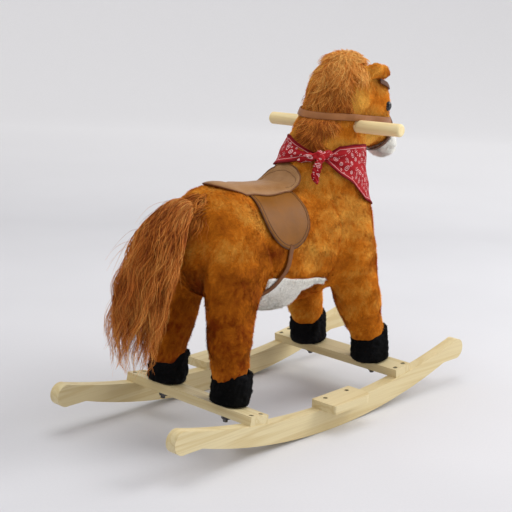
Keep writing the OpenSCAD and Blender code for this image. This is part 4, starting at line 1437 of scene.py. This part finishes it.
def combed_hair(name, roots, field, seed, hair_length, flow, widths, steps=8, top=(2.0, 8.5), stands_for=()):
    """Hair that follows a form under the comb, in wavy locks, and lifts towards its ends.

    The rein and the bandana press it flat, and under the cloth it ends.
    """
    rng = np.random.default_rng(seed)
    count = len(roots)
    flow = np.broadcast_to(flow, roots.shape)
    reach = hair_length * rng.uniform(0.6, 1.2, (count, 1)) / (steps - 1)
    bend = 0.45 * ripple(roots, 30, seed) + rng.normal(0, 0.14, count)
    top = rng.uniform(*top, count)
    p = roots
    path = [p]
    for k in range(1, steps):
        out = unit(slope(field, p))
        way = unit(flow - dot(out, flow)[:, None] * out)
        turn = bend + 0.5 * np.sin(k * 0.95 + 2.2 * ripple(roots, 40, seed + 5))
        way = way * np.cos(turn)[:, None] + np.cross(out, way) * np.sin(turn)[:, None]
        rim, low_rim = rims_beside(p)
        free = np.clip((p[:, 2] - rim + 14) / 10, 0, 1) + (p[:, 2] < low_rim)
        p = p + way * reach * free[:, None]
        beside_cloth = np.clip((p[:, 2] - rim) / 14, 0, 1) + (p[:, 2] < low_rim)
        pressed = np.clip((np.abs(over_rein(p)) - 4) / 12, 0.1, 1) * np.clip(beside_cloth, 0.15, 1)
        lift = top * (1 - (1 - k / (steps - 1)) ** 2) * pressed
        p = p + out * (lift - field(p))[:, None] * 0.9
        path.append(p)
    widths = tapered(widths, np.linspace(0, 1, steps)[None], 0.8)
    strands(name, np.stack(path, 1), widths, MANE_HAIR, seed, stands_for=stands_for)


# ---- Camera, stage and light ----


LAMPS = (
    ("soft_key", (2.3, -1.7, 2.2), 2.3, 69, (0.0, 0.0, 0.3)),
    ("soft_top", (-0.2, 0.2, 3.2), 2.6, 38, (0.0, 0.0, 0.3)),
    ("soft_low", (1.7, -1.9, 0.4), 1.2, 9, (0.1, 0.0, 0.3)),
    ("soft_fill", (-2.4, -0.6, 1.5), 2.2, 3, (0.0, 0.0, 0.3)))


def add_camera():
    """The camera looks from behind and to the right, a little from above."""
    azimuth, elevation, roll = math.radians(-137.621), math.radians(13.684), math.radians(2.361)
    target, away = Vector((0.000164, 0.048618, 0.258221)), 2.230455
    data = bpy.data.cameras.new("camera")
    data.sensor_width = 36
    data.lens = 90.84
    data.clip_end = 50
    camera = add_object("camera", data)
    toward = Vector((math.cos(elevation) * math.cos(azimuth), math.cos(elevation) * math.sin(azimuth),
                     math.sin(elevation)))
    right = (-toward).cross(Vector((0, 0, 1))).normalized()
    up = right.cross(-toward)
    across = math.cos(roll) * right + math.sin(roll) * up
    above = -math.sin(roll) * right + math.cos(roll) * up
    turn = Matrix((across, above, toward)).transposed().to_4x4()
    camera.matrix_world = Matrix.Translation(target + toward * away) @ turn
    bpy.context.scene.camera = camera


def paper_material():
    """Grey paper with painted light that makes it lighter far behind the horse, as the camera sees it."""
    paper = Shade("paper_sweep", 0.9, 0.1)
    tone = paper.noise(1.3, 3)
    grain = paper.noise(240, 2)
    colour = paper.mix(paper.span(tone, 0.3, 0.7), srgb(208, 208, 212), srgb(216, 216, 220))
    x, y, _ = paper.parts(paper.place)
    away = paper.plus(paper.times(x, 0.74), paper.times(y, 0.67))
    # painted light: lighter the further the paper lies away from the camera
    colour = paper.mix(paper.span(away, 1.4, 3.2), colour, srgb(252, 252, 255))
    return paper.paint(paper.mix(paper.span(grain, 0.35, 0.7, 0.0, 0.08), colour, srgb(190, 190, 196)))


def add_stage():
    """A round paper sweep: a flat floor that turns up into a wall all round."""
    flat, rise, around = 3.6, 2.4, 96
    profile = [(r, 0.0) for r in (0.02, 0.5, 1.0, 1.8, 2.7, flat)]
    profile += [(flat + rise * math.sin(a), rise * (1 - math.cos(a))) for a in np.linspace(0.08, 1.45, 18)]
    turns = np.arange(around) * 2 * math.pi / around
    points = np.array([[r * math.cos(a), r * math.sin(a), z] for r, z in profile for a in turns])
    centre = np.arange(around)[None]
    faces = grid_faces(len(profile), around, closed_columns=True)[:, ::-1]
    mesh = bpy.data.meshes.new("sweep")
    mesh.from_pydata(points.tolist(), [], faces.tolist() + centre.tolist())
    mesh.polygons.foreach_set("use_smooth", np.ones(len(mesh.polygons), bool))
    mesh.materials.append(paper_material())
    add_object("sweep", mesh)


def add_light():
    for name, place, size, power, aim in LAMPS:
        data = bpy.data.lights.new(name, "AREA")
        data.shape = "DISK"
        data.size = size
        data.energy = power
        lamp = add_object(name, data)
        lamp.location = place
        lamp.rotation_euler = (Vector(aim) - Vector(place)).to_track_quat("-Z", "Y").to_euler()
    world = bpy.data.worlds.new("studio")
    bpy.context.scene.world = world
    world.use_nodes = True
    background = world.node_tree.nodes["Background"]
    background.inputs["Color"].default_value = (1.0, 0.985, 0.97, 1)
    background.inputs["Strength"].default_value = 0.58
    bpy.context.scene.view_settings.view_transform = "Standard"


add_camera()
add_stage()
add_light()
finish_wood()
make_body()
make_belly()
make_muzzle()
make_hooves()
make_ears()
make_face()
make_saddle()
make_straps()
make_bandana()
make_tail()
make_mane()
